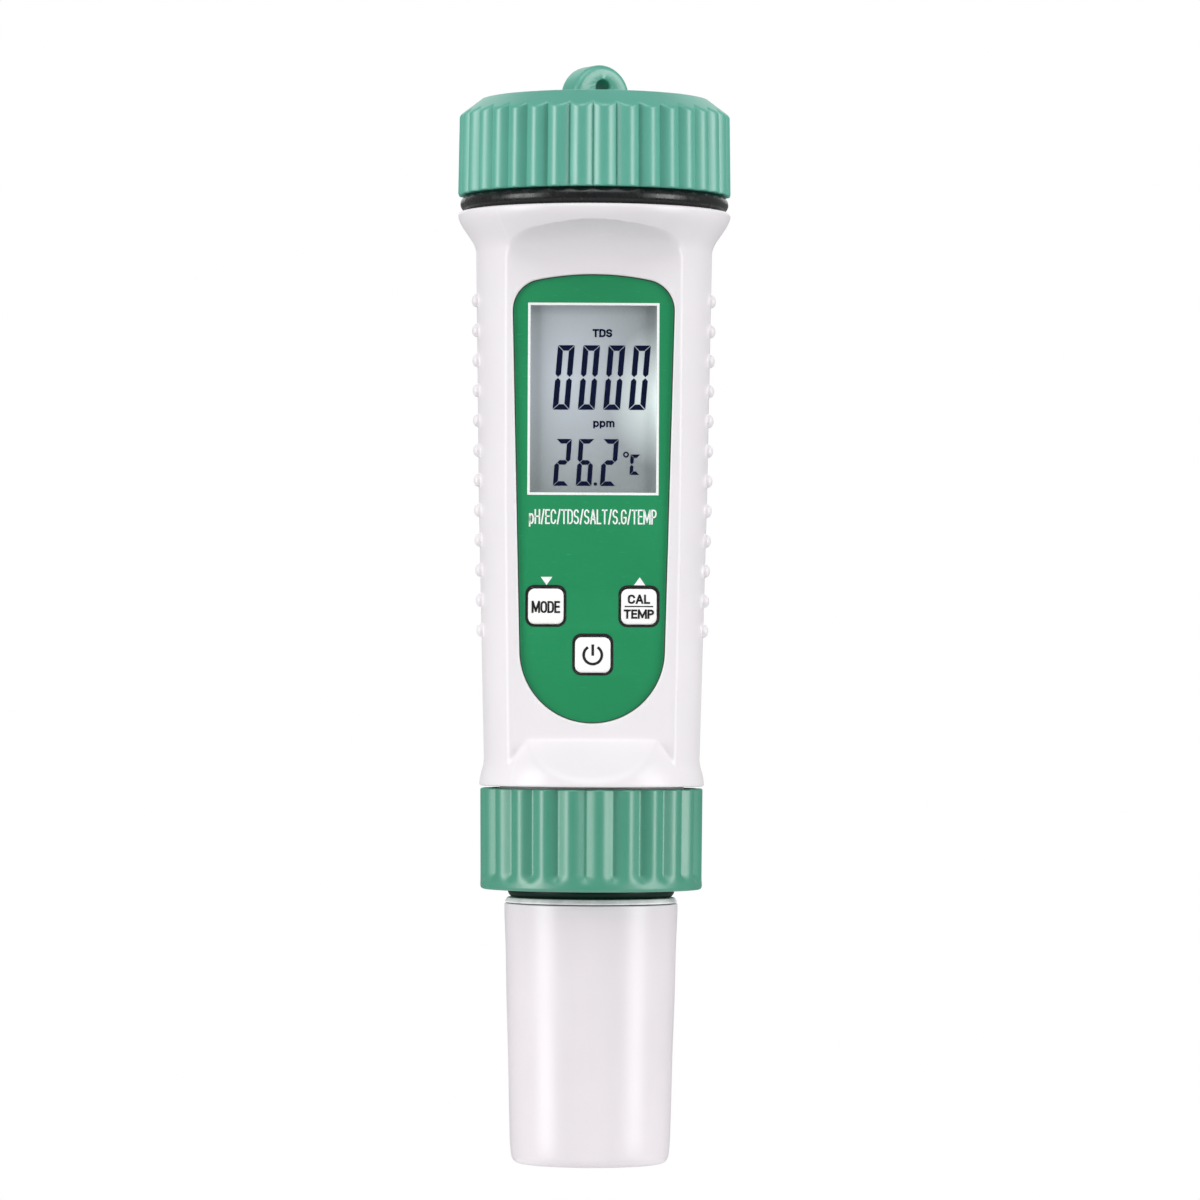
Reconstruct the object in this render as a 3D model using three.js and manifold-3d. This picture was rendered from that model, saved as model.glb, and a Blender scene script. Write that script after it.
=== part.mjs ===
// A pen-shaped digital water tester: a white housing with a display and three keys, a fluted battery cap
// with a lanyard lug on top, and a probe held by a fluted ring nut, with a storage cap over its electrodes.
// Millimetres, +Z up. The origin is the middle of the storage cap's flat base, and the display faces -Y.
import * as THREE from "three";
import { mergeVertices } from "three/addons/utils/BufferGeometryUtils.js";
import Module from "manifold-3d";

const wasm = await Module();
wasm.setup();

// General
const GAP = 0.3; // clearance between neighbouring pieces
const ROUND = 28; // sides of a large round, and steps in a turn of thread
const SMALL_ROUND = 14; // sides of a pin or a screw

// Heights of the main stations along the axis
const SENSOR_CAP_TOP = 42.45;
const SEAL_RING_TOP = 43.45;
const COLLAR_BOTTOM = 44.8;
const COLLAR_TOP = 61.3;
const HOUSING_BOTTOM = 61.7;
const FACE_BOTTOM = 69.4;
const FACE_TOP = 145.3;
const RIM_TOP = 155.6;
const BATTERY_CAP_BOTTOM = 158.35;
const NECK_TOP = 166.5;
const BATTERY_CAP_TOP = 174.2;
const LUG_TOP = 179.8;

// Housing
const FOOT_RADIUS = 18.45;
const RIM_RADIUS = 22.35;
const WALL = 2.0;
const GRIP_BOTTOM = { z: 65.4, r: 17.65 };
const GRIP_MIDDLE = { z: 108, r: 18.7 };
const GRIP_TOP = { z: 148.8, r: 19.35 };
const FACE_DEPTH_BOTTOM = 11.6; // from the axis to the flat front
const FACE_DEPTH_TOP = 13.2;
const COVE_RADIUS = 7.75;
const FOOT_CONE_SLOPE = 0.5;
const FOOT_CONE_RADIUS = 15.6; // at the bottom of the flat front
const BUMPS = { count: 12, low: 87.1, spacing: 4.9, radius: 0.95, angle: 81 };
const CUTTER = { reach: 30, halfWidth: 25, below: -20, above: 90 }; // past the part on every side
const NECK_BORE = 15.6;
const NECK_BORE_BOTTOM = GRIP_TOP.z + 3;
const SPIGOT_BORE = 13.2;
const SPIGOT_BOTTOM = 49;

// Threads: right-handed, one ridge on each side, half a pitch apart
const CAP_THREAD = { pitch: 3, turns: 1.5, root: 18.2, crest: 19, foot: 1.3, tip: 0.7, start: 160.8 };
const COLLAR_THREAD = { pitch: 2.5, turns: 1.5, root: 15.1, crest: 15.9, foot: 1.1, tip: 0.6, start: 52.2 };

// Fluted grips
const CAP_FLUTES = { count: 36, radius: 22.3, depth: 0.7, phase: -0.6 };
const COLLAR_FLUTES = { count: 24, radius: 18.45, depth: 0.7, phase: -3 };

// Front label and what shows through it; heights are above the bottom of the flat front
const LABEL = { halfWidth: 12.9, top: 75.3, arch: 45, corner: 5, bottom: 2.6, bottomRadius: 11.75 };
const LABEL_FRONT = -0.6;
const LABEL_THICKNESS = 0.4;
const WALL_BACK = -2.6;
const DISPLAY = { width: 20.2, height: 30.1, z: 55.15 };
const KEYS = [
  { name: "mode", x: -7.55, z: 21.5 },
  { name: "cal", x: 7.55, z: 21.5 },
  { name: "power", x: 0.1, z: 13.65 },
];
const KEY_SIZE = 5.8;
const KEY_FRONT = -0.4;
const KEY_FLANGE = { size: 7.6, front: -2.9, back: -3.5 };
const KEY_STEM = { radius: 1.3, back: -4.8 };
const KEY_CORNER = 1;
const MAT = { width: 22.8, height: 18.4, corner: 2, z: 17.4, front: -4.1, back: -4.6 };
const SWITCH = { size: 6, front: -5.6, holeRadius: 1.5, holeBack: -8.8 };
const PLUNGER = { radius: 1.2, front: -5.1, back: -8.2 };
const BEZEL = { width: 23.8, height: 33.6, openWidth: 22, openHeight: 31.8, corner: 1 };
const LCD_WIDTH = 21.4;
const LCD_LAYERS = {
  lcd_front_glass: { back: -3.7, front: -2.9, height: 31.2, material: "display" },
  lcd_rear_glass: { back: -4.8, front: -4, height: 29, material: "display" },
  lcd_light_guide: { back: -7, front: -5.1, height: 26, material: "clear" },
};
const LCD_STRIP = { halfLength: 10, halfHeight: 1, offset: 14.4, front: -5.1 };
const BOARD = { halfWidth: 13, bottom: -1.2, top: 81, front: -9, back: -10.6, corner: 1.5 };
const BOARD_SCREW_PLACES = { upper: BOARD.top - 4, lower: BOARD.bottom + 6 };
const SCREW = { head: 2.2, shank: 1, hole: 1.3 };
const CARRIER = { front: -10.9, back: -12.5, lift: 9 };
const CARRIER_WINDOW = { width: 18, height: 24, corner: 2, places: [-0.27, 0.24] };
const RAIL = { x: 15, halfWidth: 2.7, thickness: 1.2, inset: 2 };
const CHIP_HEIGHT = 1.2;
const CHIPS = {
  controller_chip: { left: -4, right: 4, bottom: 29, top: 37 },
  memory_chip: { left: 6, right: 10, bottom: 30, top: 35 },
};

// Batteries: four button cells in a round tray
const CELL = { radius: 5.8, height: 5.4, offset: 6.2, bottom: 162.4, step: { r: 1, z: 0.6 } };
const TRAY = { radius: 15.3, bottom: 156.8, top: 167.8, flange: 17.6, clearance: 0.25, channel: 2.5 };
const STRIP = { halfWidth: 2, thickness: 0.4 }; // the contact strips of the cells

// Battery cap
const CAP_SHOULDER = { fall: 2.9, inset: 2.8, edgeFall: 0.5, edgeInset: 4.4 };
const CAP_TOP_WALL = 2;
const CAP_ORING = { inner: 19.3, outer: 21.9 };
const LUG = { radius: 4.75, thickness: 5.4, edge: 0.7, hole: 1.25, holeHeight: 1.9, turn: 30 };
const SWIVEL_BOSS = { radius: 3, height: 3 };
const CONTACT_DISC = { radius: 15, bottom: 168.8, top: 170.9, counterbore: 2.6, counterboreTop: 169.9 };
const SWIVEL_HEAD = { bottom: 168.1, top: 169.5 };

// Collar
const COLLAR_LIP = { bore: 13.95, thickness: 1.3 };
const COLLAR_RIM = { edge: 0.9, inset: 0.2, rise: 0.5, height: 1.2 };

// Probe
const SPIGOT_RADIUS = 12.3; // the part of the probe that the storage cap slides over
const SPIGOT_END = 26;
const BOSS_RADIUS = 7.7;
const BOSS_END = 22.6;
const ELECTRODE = { radius: 3, wall: 0.8, bulb: 3.4, bulbZ: 14.6, top: 47 };
const GUARD = { inner: 8, outer: 9.8, bottom: 8.4, top: 25.7, rim: 2.2, legs: 4, legWidth: 4 };
const PROBE_TOP = 60;
const PROBE_NECK = 12.9; // the part of the probe inside the housing's spigot
const PROBE_SHOULDER = { seat: 13.3, radius: 13.65, rise: 0.7 };
const PROBE_FLANGE = { bottom: COLLAR_BOTTOM + 1.6, top: SPIGOT_BOTTOM - GAP, radius: 15.6 };
const CAP_GROOVE = { radius: 10.8, bottom: 34.6, top: 37, squeeze: 0.05 };
const BORE_GROOVE = { radius: 11.4, bottom: 54.8, top: 57, squeeze: 0.05 };
const GROOVE_RING = { lift: 0.3 }; // the O-rings stand this far clear of their grooves' walls
const PROBE_BOARD = { halfWidth: 5, front: 0.85, back: 2.05, bottom: 56, top: 67.7 };
const SOCKET = { halfWidth: 7, wall: 1.4, bottom: 64.3, top: 69.5, slotBottom: 63, slotTop: 68.3 };
const WIRE = { radius: 0.4, bottom: 13, top: 45 };

// Storage cap
const SENSOR_CAP_LEAD = { z: 35.1, outer: 13.95, inner: 12.65 }; // where its mouth starts to widen
const SENSOR_CAP_FLOOR = 1.6;
const SPONGE = { radius: 10.4, bottom: 1.9, top: 5.4 };

const FACE_TILT = Math.atan((FACE_DEPTH_TOP - FACE_DEPTH_BOTTOM) / (FACE_TOP - FACE_BOTTOM));

const plastic = (color, roughness) => new THREE.MeshStandardMaterial({ color, roughness, metalness: 0 });
const metal = (color, roughness) => new THREE.MeshStandardMaterial({ color, roughness, metalness: 1 });
const materials = {
  whiteShell: plastic(0xeceaec, 0.38),
  whiteKey: plastic(0xf8f8f6, 0.45),
  greenGrip: plastic(0x6fb7a0, 0.42),
  greenProbe: plastic(0x38614f, 0.45),
  label: plastic(0x2c8a5a, 0.4),
  clear: plastic(0xdfe8e8, 0.1),
  display: plastic(0x8f979b, 0.15),
  black: plastic(0x202224, 0.6),
  rubber: plastic(0x1c1d1f, 0.75),
  board: plastic(0x1f5b38, 0.5),
  silicone: plastic(0xc9c6ca, 0.6),
  sponge: plastic(0xd8c66a, 0.95),
  steel: metal(0xb9bcc0, 0.35),
  nickel: metal(0xc9c5b8, 0.3),
};

// ---------------------------------------------------------------- shape helpers

function solidOf(geometry) {
  const bare = geometry.clone();
  bare.deleteAttribute("normal");
  bare.deleteAttribute("uv");
  const merged = mergeVertices(bare, 1e-3);
  const vertProperties = merged.getAttribute("position").array;
  const triVerts = new Uint32Array(merged.index.array);
  return new wasm.Manifold(new wasm.Mesh({ numProp: 3, vertProperties, triVerts }));
}

function geometryOf(solid) {
  const mesh = solid.getMesh();
  const geometry = new THREE.BufferGeometry();
  geometry.setAttribute("position", new THREE.BufferAttribute(mesh.vertProperties, 3));
  geometry.setIndex(new THREE.BufferAttribute(mesh.triVerts, 1));
  geometry.computeVertexNormals();
  return geometry;
}

function join(...geometries) {
  return geometryOf(geometries.map(solidOf).reduce((sum, next) => sum.add(next)));
}

function cut(geometry, ...tools) {
  return geometryOf(tools.map(solidOf).reduce((rest, tool) => rest.subtract(tool), solidOf(geometry)));
}

// A closed profile of [radius, z] points, outer wall upwards, turned about the axis.
function revolve(points, sides = ROUND) {
  const profile = points.map(([r, z]) => new THREE.Vector2(r, z));
  return new THREE.LatheGeometry(profile, sides).rotateX(Math.PI / 2);
}

function disc(radius, bottom, top, sides = ROUND) {
  return revolve([[0, bottom], [radius, bottom], [radius, top], [0, top]], sides);
}

function ring(inner, outer, bottom, top, sides = ROUND) {
  const corners = [[outer, bottom], [outer, top], [inner, top], [inner, bottom]];
  return revolve([...corners, corners[0]], sides);
}

// A ring of round section, such as an O-ring, with the section given by its own sides.
function roundRing(inner, outer, bottom, top, sectionSides = 6) {
  const points = [];
  for (let i = 0; i <= sectionSides; i++) {
    const angle = ((i % sectionSides) / sectionSides) * 2 * Math.PI;
    const r = (inner + outer) / 2 + ((outer - inner) / 2) * Math.cos(angle);
    points.push([r, (bottom + top) / 2 + ((top - bottom) / 2) * Math.sin(angle)]);
  }
  return revolve(points);
}

function block(x0, x1, y0, y1, z0, z1) {
  const box = new THREE.BoxGeometry(x1 - x0, y1 - y0, z1 - z0);
  return box.translate((x0 + x1) / 2, (y0 + y1) / 2, (z0 + z1) / 2);
}

// An outline in X and Z pushed through from one height above the flat front to another, outwards positive.
function plate(shape, back, front, curveSegments = 8) {
  const settings = { depth: front - back, bevelEnabled: false, curveSegments };
  return new THREE.ExtrudeGeometry(shape, settings).translate(0, 0, back).rotateX(Math.PI / 2);
}

// A round peg standing on the flat front, with the same heights as a plate.
function peg(radius, x, z, back, front, sides = SMALL_ROUND) {
  const round = new THREE.CylinderGeometry(radius, radius, front - back, sides);
  return round.translate(x, -(back + front) / 2, z);
}

function rectangle(width, height, x = 0, z = 0) {
  const shape = new THREE.Shape();
  shape.moveTo(x - width / 2, z - height / 2);
  shape.lineTo(x + width / 2, z - height / 2);
  shape.lineTo(x + width / 2, z + height / 2);
  shape.lineTo(x - width / 2, z + height / 2);
  shape.closePath();
  return shape;
}

function roundedRectangle(width, height, radius, x = 0, z = 0) {
  const a = width / 2 - radius;
  const b = height / 2 - radius;
  const shape = new THREE.Shape();
  shape.absarc(x + a, z + b, radius, 0, Math.PI / 2);
  shape.absarc(x - a, z + b, radius, Math.PI / 2, Math.PI);
  shape.absarc(x - a, z - b, radius, Math.PI, 1.5 * Math.PI);
  shape.absarc(x + a, z - b, radius, 1.5 * Math.PI, 2 * Math.PI);
  shape.closePath();
  return shape;
}

// A shape drawn in Y and Z, pushed through along X.
function alongX(shape, halfWidth) {
  const settings = { depth: 2 * halfWidth, bevelEnabled: false, curveSegments: 10 };
  const axes = [new THREE.Vector3(0, 1, 0), new THREE.Vector3(0, 0, 1), new THREE.Vector3(1, 0, 0)];
  const turn = new THREE.Matrix4().makeBasis(...axes);
  return new THREE.ExtrudeGeometry(shape, settings).translate(0, 0, -halfWidth).applyMatrix4(turn);
}

// A round grip with convex ridges between narrow grooves, as an upright prism.
function flutedPrism({ count, radius, depth, phase }, bottom, top) {
  const steps = [[0, 1], [0.2, 0.3], [0.5, 0], [0.8, 0.3]]; // share of the pitch, share of the depth
  const points = [];
  for (let i = 0; i < count; i++) {
    for (const [share, drop] of steps) {
      const angle = THREE.MathUtils.degToRad(phase - 90) + ((i + share) / count) * 2 * Math.PI;
      const r = radius - depth * drop;
      points.push(new THREE.Vector2(r * Math.cos(angle), r * Math.sin(angle)));
    }
  }
  const settings = { depth: top - bottom, bevelEnabled: false };
  return new THREE.ExtrudeGeometry(new THREE.Shape(points), settings).translate(0, 0, bottom);
}

// The ridge of a thread as one closed helical bar. It sinks into its wall at both ends.
// base is the wall's radius and crest the ridge's; crest is the smaller one on a nut.
function threadRidge({ pitch, turns, foot, tip }, base, crest, start) {
  const inwards = Math.sign(base - crest);
  const sunk = base + inwards * 0.4;
  const steps = Math.round(turns * ROUND);
  const positions = [];
  const faces = [];
  for (let i = 0; i <= steps; i++) {
    const angle = (i / ROUND) * 2 * Math.PI - Math.PI / 2;
    const z = start + (i / ROUND) * pitch;
    const height = Math.min(1, Math.min(i, steps - i) / 3);
    const top = base + inwards * 0.1 + (crest - base - inwards * 0.1) * height;
    const section = [[sunk, -foot / 2], [top, -tip / 2], [top, tip / 2], [sunk, foot / 2]];
    for (const [r, dz] of section) {
      positions.push(r * Math.cos(angle), r * Math.sin(angle), z + dz);
    }
  }
  for (let i = 0; i < steps; i++) {
    for (let k = 0; k < 4; k++) {
      const a = 4 * i + k;
      const b = 4 * i + ((k + 1) % 4);
      faces.push([a, a + 4, b], [b, a + 4, b + 4]);
    }
  }
  const last = 4 * steps;
  faces.push([0, 1, 2], [0, 2, 3], [last, last + 2, last + 1], [last, last + 3, last + 2]);
  const outward = crest > base;
  const index = faces.flatMap(([a, b, c]) => (outward ? [a, b, c] : [a, c, b]));
  const geometry = new THREE.BufferGeometry();
  geometry.setAttribute("position", new THREE.Float32BufferAttribute(positions, 3));
  geometry.setIndex(index);
  return geometry;
}

// ---------------------------------------------------------------- the scene graph

Object.assign(materials.clear, { transparent: true, opacity: 0.35 });

const tester = new THREE.Group();
const face = new THREE.Group(); // stands on the flat front: x across, z up the face, -y outwards
face.position.set(0, -FACE_DEPTH_BOTTOM, FACE_BOTTOM);
face.rotation.x = FACE_TILT;
face.updateMatrix();
tester.add(face);

function add(name, geometry, material, group = tester) {
  const mesh = new THREE.Mesh(geometry, material);
  mesh.name = name;
  group.add(mesh);
}

const onFace = (geometry) => geometry.applyMatrix4(face.matrix);

// ---------------------------------------------------------------- housing

function gripRadius(z) {
  const [low, high] = z < GRIP_MIDDLE.z ? [GRIP_BOTTOM, GRIP_MIDDLE] : [GRIP_MIDDLE, GRIP_TOP];
  return low.r + ((high.r - low.r) * (z - low.z)) / (high.z - low.z);
}

function faceDepth(z) {
  return FACE_DEPTH_BOTTOM + (z - FACE_BOTTOM) * Math.tan(FACE_TILT);
}

// Everything in front of the flat front, up to the cove under the rim.
function faceCutter() {
  const low = HOUSING_BOTTOM - 3;
  const shape = new THREE.Shape();
  shape.moveTo(-CUTTER.reach, low);
  shape.lineTo(-faceDepth(low), low);
  shape.absarc(-FACE_DEPTH_TOP - COVE_RADIUS, FACE_TOP, COVE_RADIUS, 0, Math.PI / 2);
  shape.lineTo(-CUTTER.reach, FACE_TOP + COVE_RADIUS);
  shape.closePath();
  return alongX(shape, CUTTER.halfWidth);
}

// Everything in front of the slanted foot of the flat front.
function footCutter() {
  const top = FACE_BOTTOM + 6;
  const shape = new THREE.Shape();
  shape.moveTo(-CUTTER.reach, top);
  shape.lineTo(-CUTTER.reach, FACE_BOTTOM - (CUTTER.reach - FACE_DEPTH_BOTTOM));
  shape.lineTo(-FACE_DEPTH_BOTTOM, FACE_BOTTOM);
  shape.lineTo(-faceDepth(top), top);
  shape.closePath();
  return alongX(shape, CUTTER.halfWidth);
}

function labelShape(grow) {
  const cornerX = LABEL.halfWidth - LABEL.corner;
  const archZ = LABEL.top - LABEL.arch;
  const cornerZ = archZ + Math.sqrt((LABEL.arch - LABEL.corner) ** 2 - cornerX ** 2);
  const turn = Math.atan2(cornerZ - archZ, cornerX);
  const shape = new THREE.Shape();
  shape.absarc(0, LABEL.bottom + LABEL.bottomRadius, LABEL.bottomRadius + grow, Math.PI, 2 * Math.PI);
  shape.absarc(cornerX, cornerZ, LABEL.corner + grow, 0, turn);
  shape.absarc(0, archZ, LABEL.arch + grow, turn, Math.PI - turn);
  shape.absarc(-cornerX, cornerZ, LABEL.corner + grow, Math.PI - turn, Math.PI);
  shape.closePath();
  return shape;
}

function keyHole(size, { x, z }) {
  return roundedRectangle(size, size, KEY_CORNER, x, z);
}

function bump(side, z) {
  const angle = THREE.MathUtils.degToRad(BUMPS.angle);
  const r = gripRadius(z) + 0.05;
  const x = side * r * Math.sin(angle);
  return new THREE.SphereGeometry(BUMPS.radius, 6, 4).translate(x, -r * Math.cos(angle), z);
}

// The space inside the grip, less the two pairs of rails that the circuit board and its carrier slide in.
function gripCavity() {
  const profile = [
    [0, FACE_BOTTOM - 5.4],
    [gripRadius(66) - WALL, FACE_BOTTOM - 5.4],
    [GRIP_MIDDLE.r - WALL, GRIP_MIDDLE.z],
    [GRIP_TOP.r - WALL, GRIP_TOP.z],
    [NECK_BORE, NECK_BORE_BOTTOM],
    [0, NECK_BORE_BOTTOM],
  ];
  const { reach, halfWidth, below, above } = CUTTER;
  const inFront = onFace(block(-halfWidth, halfWidth, -WALL_BACK - reach, -WALL_BACK, below, above));
  const rails = [];
  for (const side of [-1, 1]) {
    const left = side * RAIL.x - RAIL.halfWidth;
    const right = side * RAIL.x + RAIL.halfWidth;
    for (const back of [BOARD.front + GAP, CARRIER.back - GAP - RAIL.thickness]) {
      const [bottom, top] = [BOARD.bottom + RAIL.inset, BOARD.top - RAIL.inset];
      rails.push(onFace(block(left, right, -back - RAIL.thickness, -back, bottom, top)));
    }
  }
  return cut(revolve(profile), inFront, ...rails);
}

function housing() {
  const tube = revolve([
    [0, HOUSING_BOTTOM],
    [FOOT_RADIUS - 1.4, HOUSING_BOTTOM],
    [GRIP_BOTTOM.r - 0.1, GRIP_BOTTOM.z],
    [GRIP_MIDDLE.r, GRIP_MIDDLE.z],
    [GRIP_TOP.r, GRIP_TOP.z],
    [GRIP_TOP.r + 0.6, GRIP_TOP.z + 1.5],
    [RIM_RADIUS - 0.1, RIM_TOP - 0.8],
    [RIM_RADIUS, RIM_TOP - 0.3],
    [RIM_RADIUS - 0.4, RIM_TOP],
    [CAP_THREAD.crest, RIM_TOP],
    [CAP_THREAD.crest, BATTERY_CAP_BOTTOM + 0.3],
    [CAP_THREAD.root, BATTERY_CAP_BOTTOM + 1],
    [CAP_THREAD.root, NECK_TOP],
    [0, NECK_TOP],
  ]);
  const coneTop = FACE_BOTTOM + 2;
  const coneBottom = FACE_BOTTOM - (FOOT_RADIUS - FOOT_CONE_RADIUS) / FOOT_CONE_SLOPE;
  const foot = revolve([
    [0, HOUSING_BOTTOM],
    [FOOT_RADIUS, HOUSING_BOTTOM],
    [FOOT_RADIUS, coneBottom],
    [FOOT_CONE_RADIUS - 2 * FOOT_CONE_SLOPE, coneTop],
    [0, coneTop],
  ]);
  const spigot = disc(COLLAR_THREAD.root, SPIGOT_BOTTOM, HOUSING_BOTTOM + 1);
  const capRidge = threadRidge(CAP_THREAD, CAP_THREAD.root, CAP_THREAD.crest, CAP_THREAD.start);
  const { root, crest, start } = COLLAR_THREAD;
  const collarRidge = threadRidge(COLLAR_THREAD, root, crest, start);
  const bumps = [];
  for (let i = 0; i < BUMPS.count; i++) {
    bumps.push(bump(-1, BUMPS.low + i * BUMPS.spacing), bump(1, BUMPS.low + i * BUMPS.spacing));
  }
  const outside = join(
    cut(tube, faceCutter()),
    cut(foot, footCutter()),
    spigot,
    capRidge,
    collarRidge,
    ...bumps,
  );
  const recess = LABEL_FRONT - LABEL_THICKNESS - GAP;
  return cut(
    outside,
    gripCavity(),
    disc(NECK_BORE, GRIP_TOP.z + 2.9, NECK_TOP + 1),
    disc(SPIGOT_BORE, SPIGOT_BOTTOM - 1, FACE_BOTTOM - 5.3),
    onFace(plate(labelShape(GAP), recess, 3)),
    onFace(plate(rectangle(DISPLAY.width - 0.8, DISPLAY.height - 0.8, 0, DISPLAY.z), WALL_BACK - 1, 0)),
    ...KEYS.map((key) => onFace(plate(keyHole(KEY_SIZE + 2 * GAP, key), WALL_BACK - 1, 0, 3))),
  );
}

// ---------------------------------------------------------------- front label, display and keys

function frontLabel() {
  const shape = labelShape(0);
  shape.holes.push(rectangle(DISPLAY.width, DISPLAY.height, 0, DISPLAY.z));
  shape.holes.push(...KEYS.map((key) => keyHole(KEY_SIZE + 2 * GAP, key)));
  return plate(shape, LABEL_FRONT - LABEL_THICKNESS, LABEL_FRONT, 3);
}

function keycap(key) {
  const cap = plate(keyHole(KEY_SIZE, key), KEY_FLANGE.front - 0.1, KEY_FRONT, 3);
  const { size, back, front } = KEY_FLANGE;
  const flange = plate(rectangle(size, size, key.x, key.z), back, front);
  const stem = peg(KEY_STEM.radius, key.x, key.z, KEY_STEM.back, KEY_FLANGE.back + 0.1);
  return join(cap, flange, stem);
}

function keypadMat() {
  const shape = roundedRectangle(MAT.width, MAT.height, MAT.corner, 0, MAT.z);
  for (const { x, z } of KEYS) {
    const hole = new THREE.Path();
    hole.absarc(x, z, KEY_STEM.radius + GAP, 0, 2 * Math.PI);
    shape.holes.push(hole);
  }
  return plate(shape, MAT.back, MAT.front, 4);
}

function tactSwitch({ x, z }) {
  const half = SWITCH.size / 2;
  const body = block(x - half, x + half, -SWITCH.front, -BOARD.front - GAP, z - half, z + half);
  return cut(body, peg(SWITCH.holeRadius, x, z, SWITCH.holeBack, SWITCH.front + 1));
}

function circuitBoard() {
  const height = BOARD.top - BOARD.bottom;
  const middle = (BOARD.top + BOARD.bottom) / 2;
  const shape = roundedRectangle(2 * BOARD.halfWidth, height, BOARD.corner, 0, middle);
  for (const z of [BOARD_SCREW_PLACES.lower, BOARD_SCREW_PLACES.upper]) {
    const hole = new THREE.Path();
    hole.absarc(0, z, SCREW.hole, 0, 2 * Math.PI);
    shape.holes.push(hole);
  }
  return plate(shape, BOARD.back, BOARD.front, 3);
}

function boardCarrier() {
  const height = BOARD.top - BOARD.bottom - CARRIER.lift;
  const middle = (BOARD.top + BOARD.bottom + CARRIER.lift) / 2;
  const shape = roundedRectangle(2 * BOARD.halfWidth, height, BOARD.corner, 0, middle);
  const window = CARRIER_WINDOW;
  for (const place of window.places) {
    const z = middle + place * height;
    shape.holes.push(roundedRectangle(window.width, window.height, window.corner, 0, z));
  }
  const hole = new THREE.Path();
  hole.absarc(0, BOARD_SCREW_PLACES.upper, SCREW.hole, 0, 2 * Math.PI);
  shape.holes.push(hole);
  return plate(shape, CARRIER.back, CARRIER.front, 3);
}

function boardScrew(z) {
  const head = peg(SCREW.head, 0, z, BOARD.front + GAP, BOARD.front + 1.5, 10);
  const shank = peg(SCREW.shank, 0, z, CARRIER.back + 0.4, BOARD.front + 0.4, 10);
  return join(head, shank);
}

function displayBezel() {
  const shape = roundedRectangle(BEZEL.width, BEZEL.height, BEZEL.corner, 0, DISPLAY.z);
  shape.holes.push(rectangle(BEZEL.openWidth, BEZEL.openHeight, 0, DISPLAY.z));
  return plate(shape, BOARD.front + GAP, WALL_BACK - GAP, 3);
}

function buildFace() {
  const window = rectangle(DISPLAY.width - 2 * GAP, DISPLAY.height - 2 * GAP, 0, DISPLAY.z);
  add("front_label", frontLabel(), materials.label, face);
  add("display_window", plate(window, LABEL_FRONT - LABEL_THICKNESS, LABEL_FRONT), materials.clear, face);
  for (const [name, { back, front, height, material }] of Object.entries(LCD_LAYERS)) {
    add(name, plate(rectangle(LCD_WIDTH, height, 0, DISPLAY.z), back, front), materials[material], face);
  }
  add("lcd_bezel", displayBezel(), materials.black, face);
  for (const [side, name] of [[1, "upper"], [-1, "lower"]]) {
    const { halfLength, halfHeight, offset, front } = LCD_STRIP;
    const z = DISPLAY.z + side * offset;
    const span = [z - halfHeight, z + halfHeight];
    const strip = block(-halfLength, halfLength, -front, -BOARD.front - GAP, ...span);
    add(`${name}_contact_strip`, strip, materials.rubber, face);
  }
  add("keypad_mat", keypadMat(), materials.rubber, face);
  add("circuit_board", circuitBoard(), materials.board, face);
  add("board_carrier", boardCarrier(), materials.black, face);
  for (const [name, z] of Object.entries(BOARD_SCREW_PLACES)) {
    add(`${name}_board_screw`, boardScrew(z), materials.steel, face);
  }
  const chipBack = -BOARD.front - GAP;
  for (const [name, { left, right, bottom, top }] of Object.entries(CHIPS)) {
    add(name, block(left, right, chipBack - CHIP_HEIGHT, chipBack, bottom, top), materials.black, face);
  }
  for (const key of KEYS) {
    add(`${key.name}_key`, keycap(key), materials.whiteKey, face);
    add(`${key.name}_switch`, tactSwitch(key), materials.black, face);
    const plunger = peg(PLUNGER.radius, key.x, key.z, PLUNGER.back, PLUNGER.front);
    add(`${key.name}_switch_plunger`, plunger, materials.nickel, face);
  }
}

// ---------------------------------------------------------------- battery compartment and cap

const CELL_PLACES = [[-1, -1], [1, -1], [1, 1], [-1, 1]].map((signs) => signs.map((s) => s * CELL.offset));

function batteryTray() {
  const body = join(
    disc(TRAY.radius, TRAY.bottom, TRAY.top),
    disc(TRAY.flange, NECK_TOP + GAP, TRAY.top),
  );
  const pocketFloor = CELL.bottom - 2 * GAP - STRIP.thickness;
  const pockets = CELL_PLACES.map(([x, y]) =>
    disc(CELL.radius + TRAY.clearance, pocketFloor, TRAY.top + 1, 20).translate(x, y, 0),
  );
  const reach = CELL.offset + TRAY.channel;
  const channel = block(-reach, reach, CELL.offset - TRAY.channel, reach, pocketFloor, CELL.bottom);
  return cut(body, ...pockets, channel);
}

// The strap that joins the two rear cells under them, and the two terminals under the front cells.
function cellLink(y, bottom) {
  const { halfWidth, thickness } = STRIP;
  const reach = CELL.offset + halfWidth;
  return block(-reach, reach, y - halfWidth, y + halfWidth, bottom, bottom + thickness);
}

function cellTerminal(x) {
  const { halfWidth, thickness } = STRIP;
  const bottom = CELL.bottom - GAP - thickness;
  const [front, back] = [-CELL.offset - halfWidth, -CELL.offset + halfWidth];
  return block(x - TRAY.channel, x + TRAY.channel, front, back, bottom, bottom + thickness);
}

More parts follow.
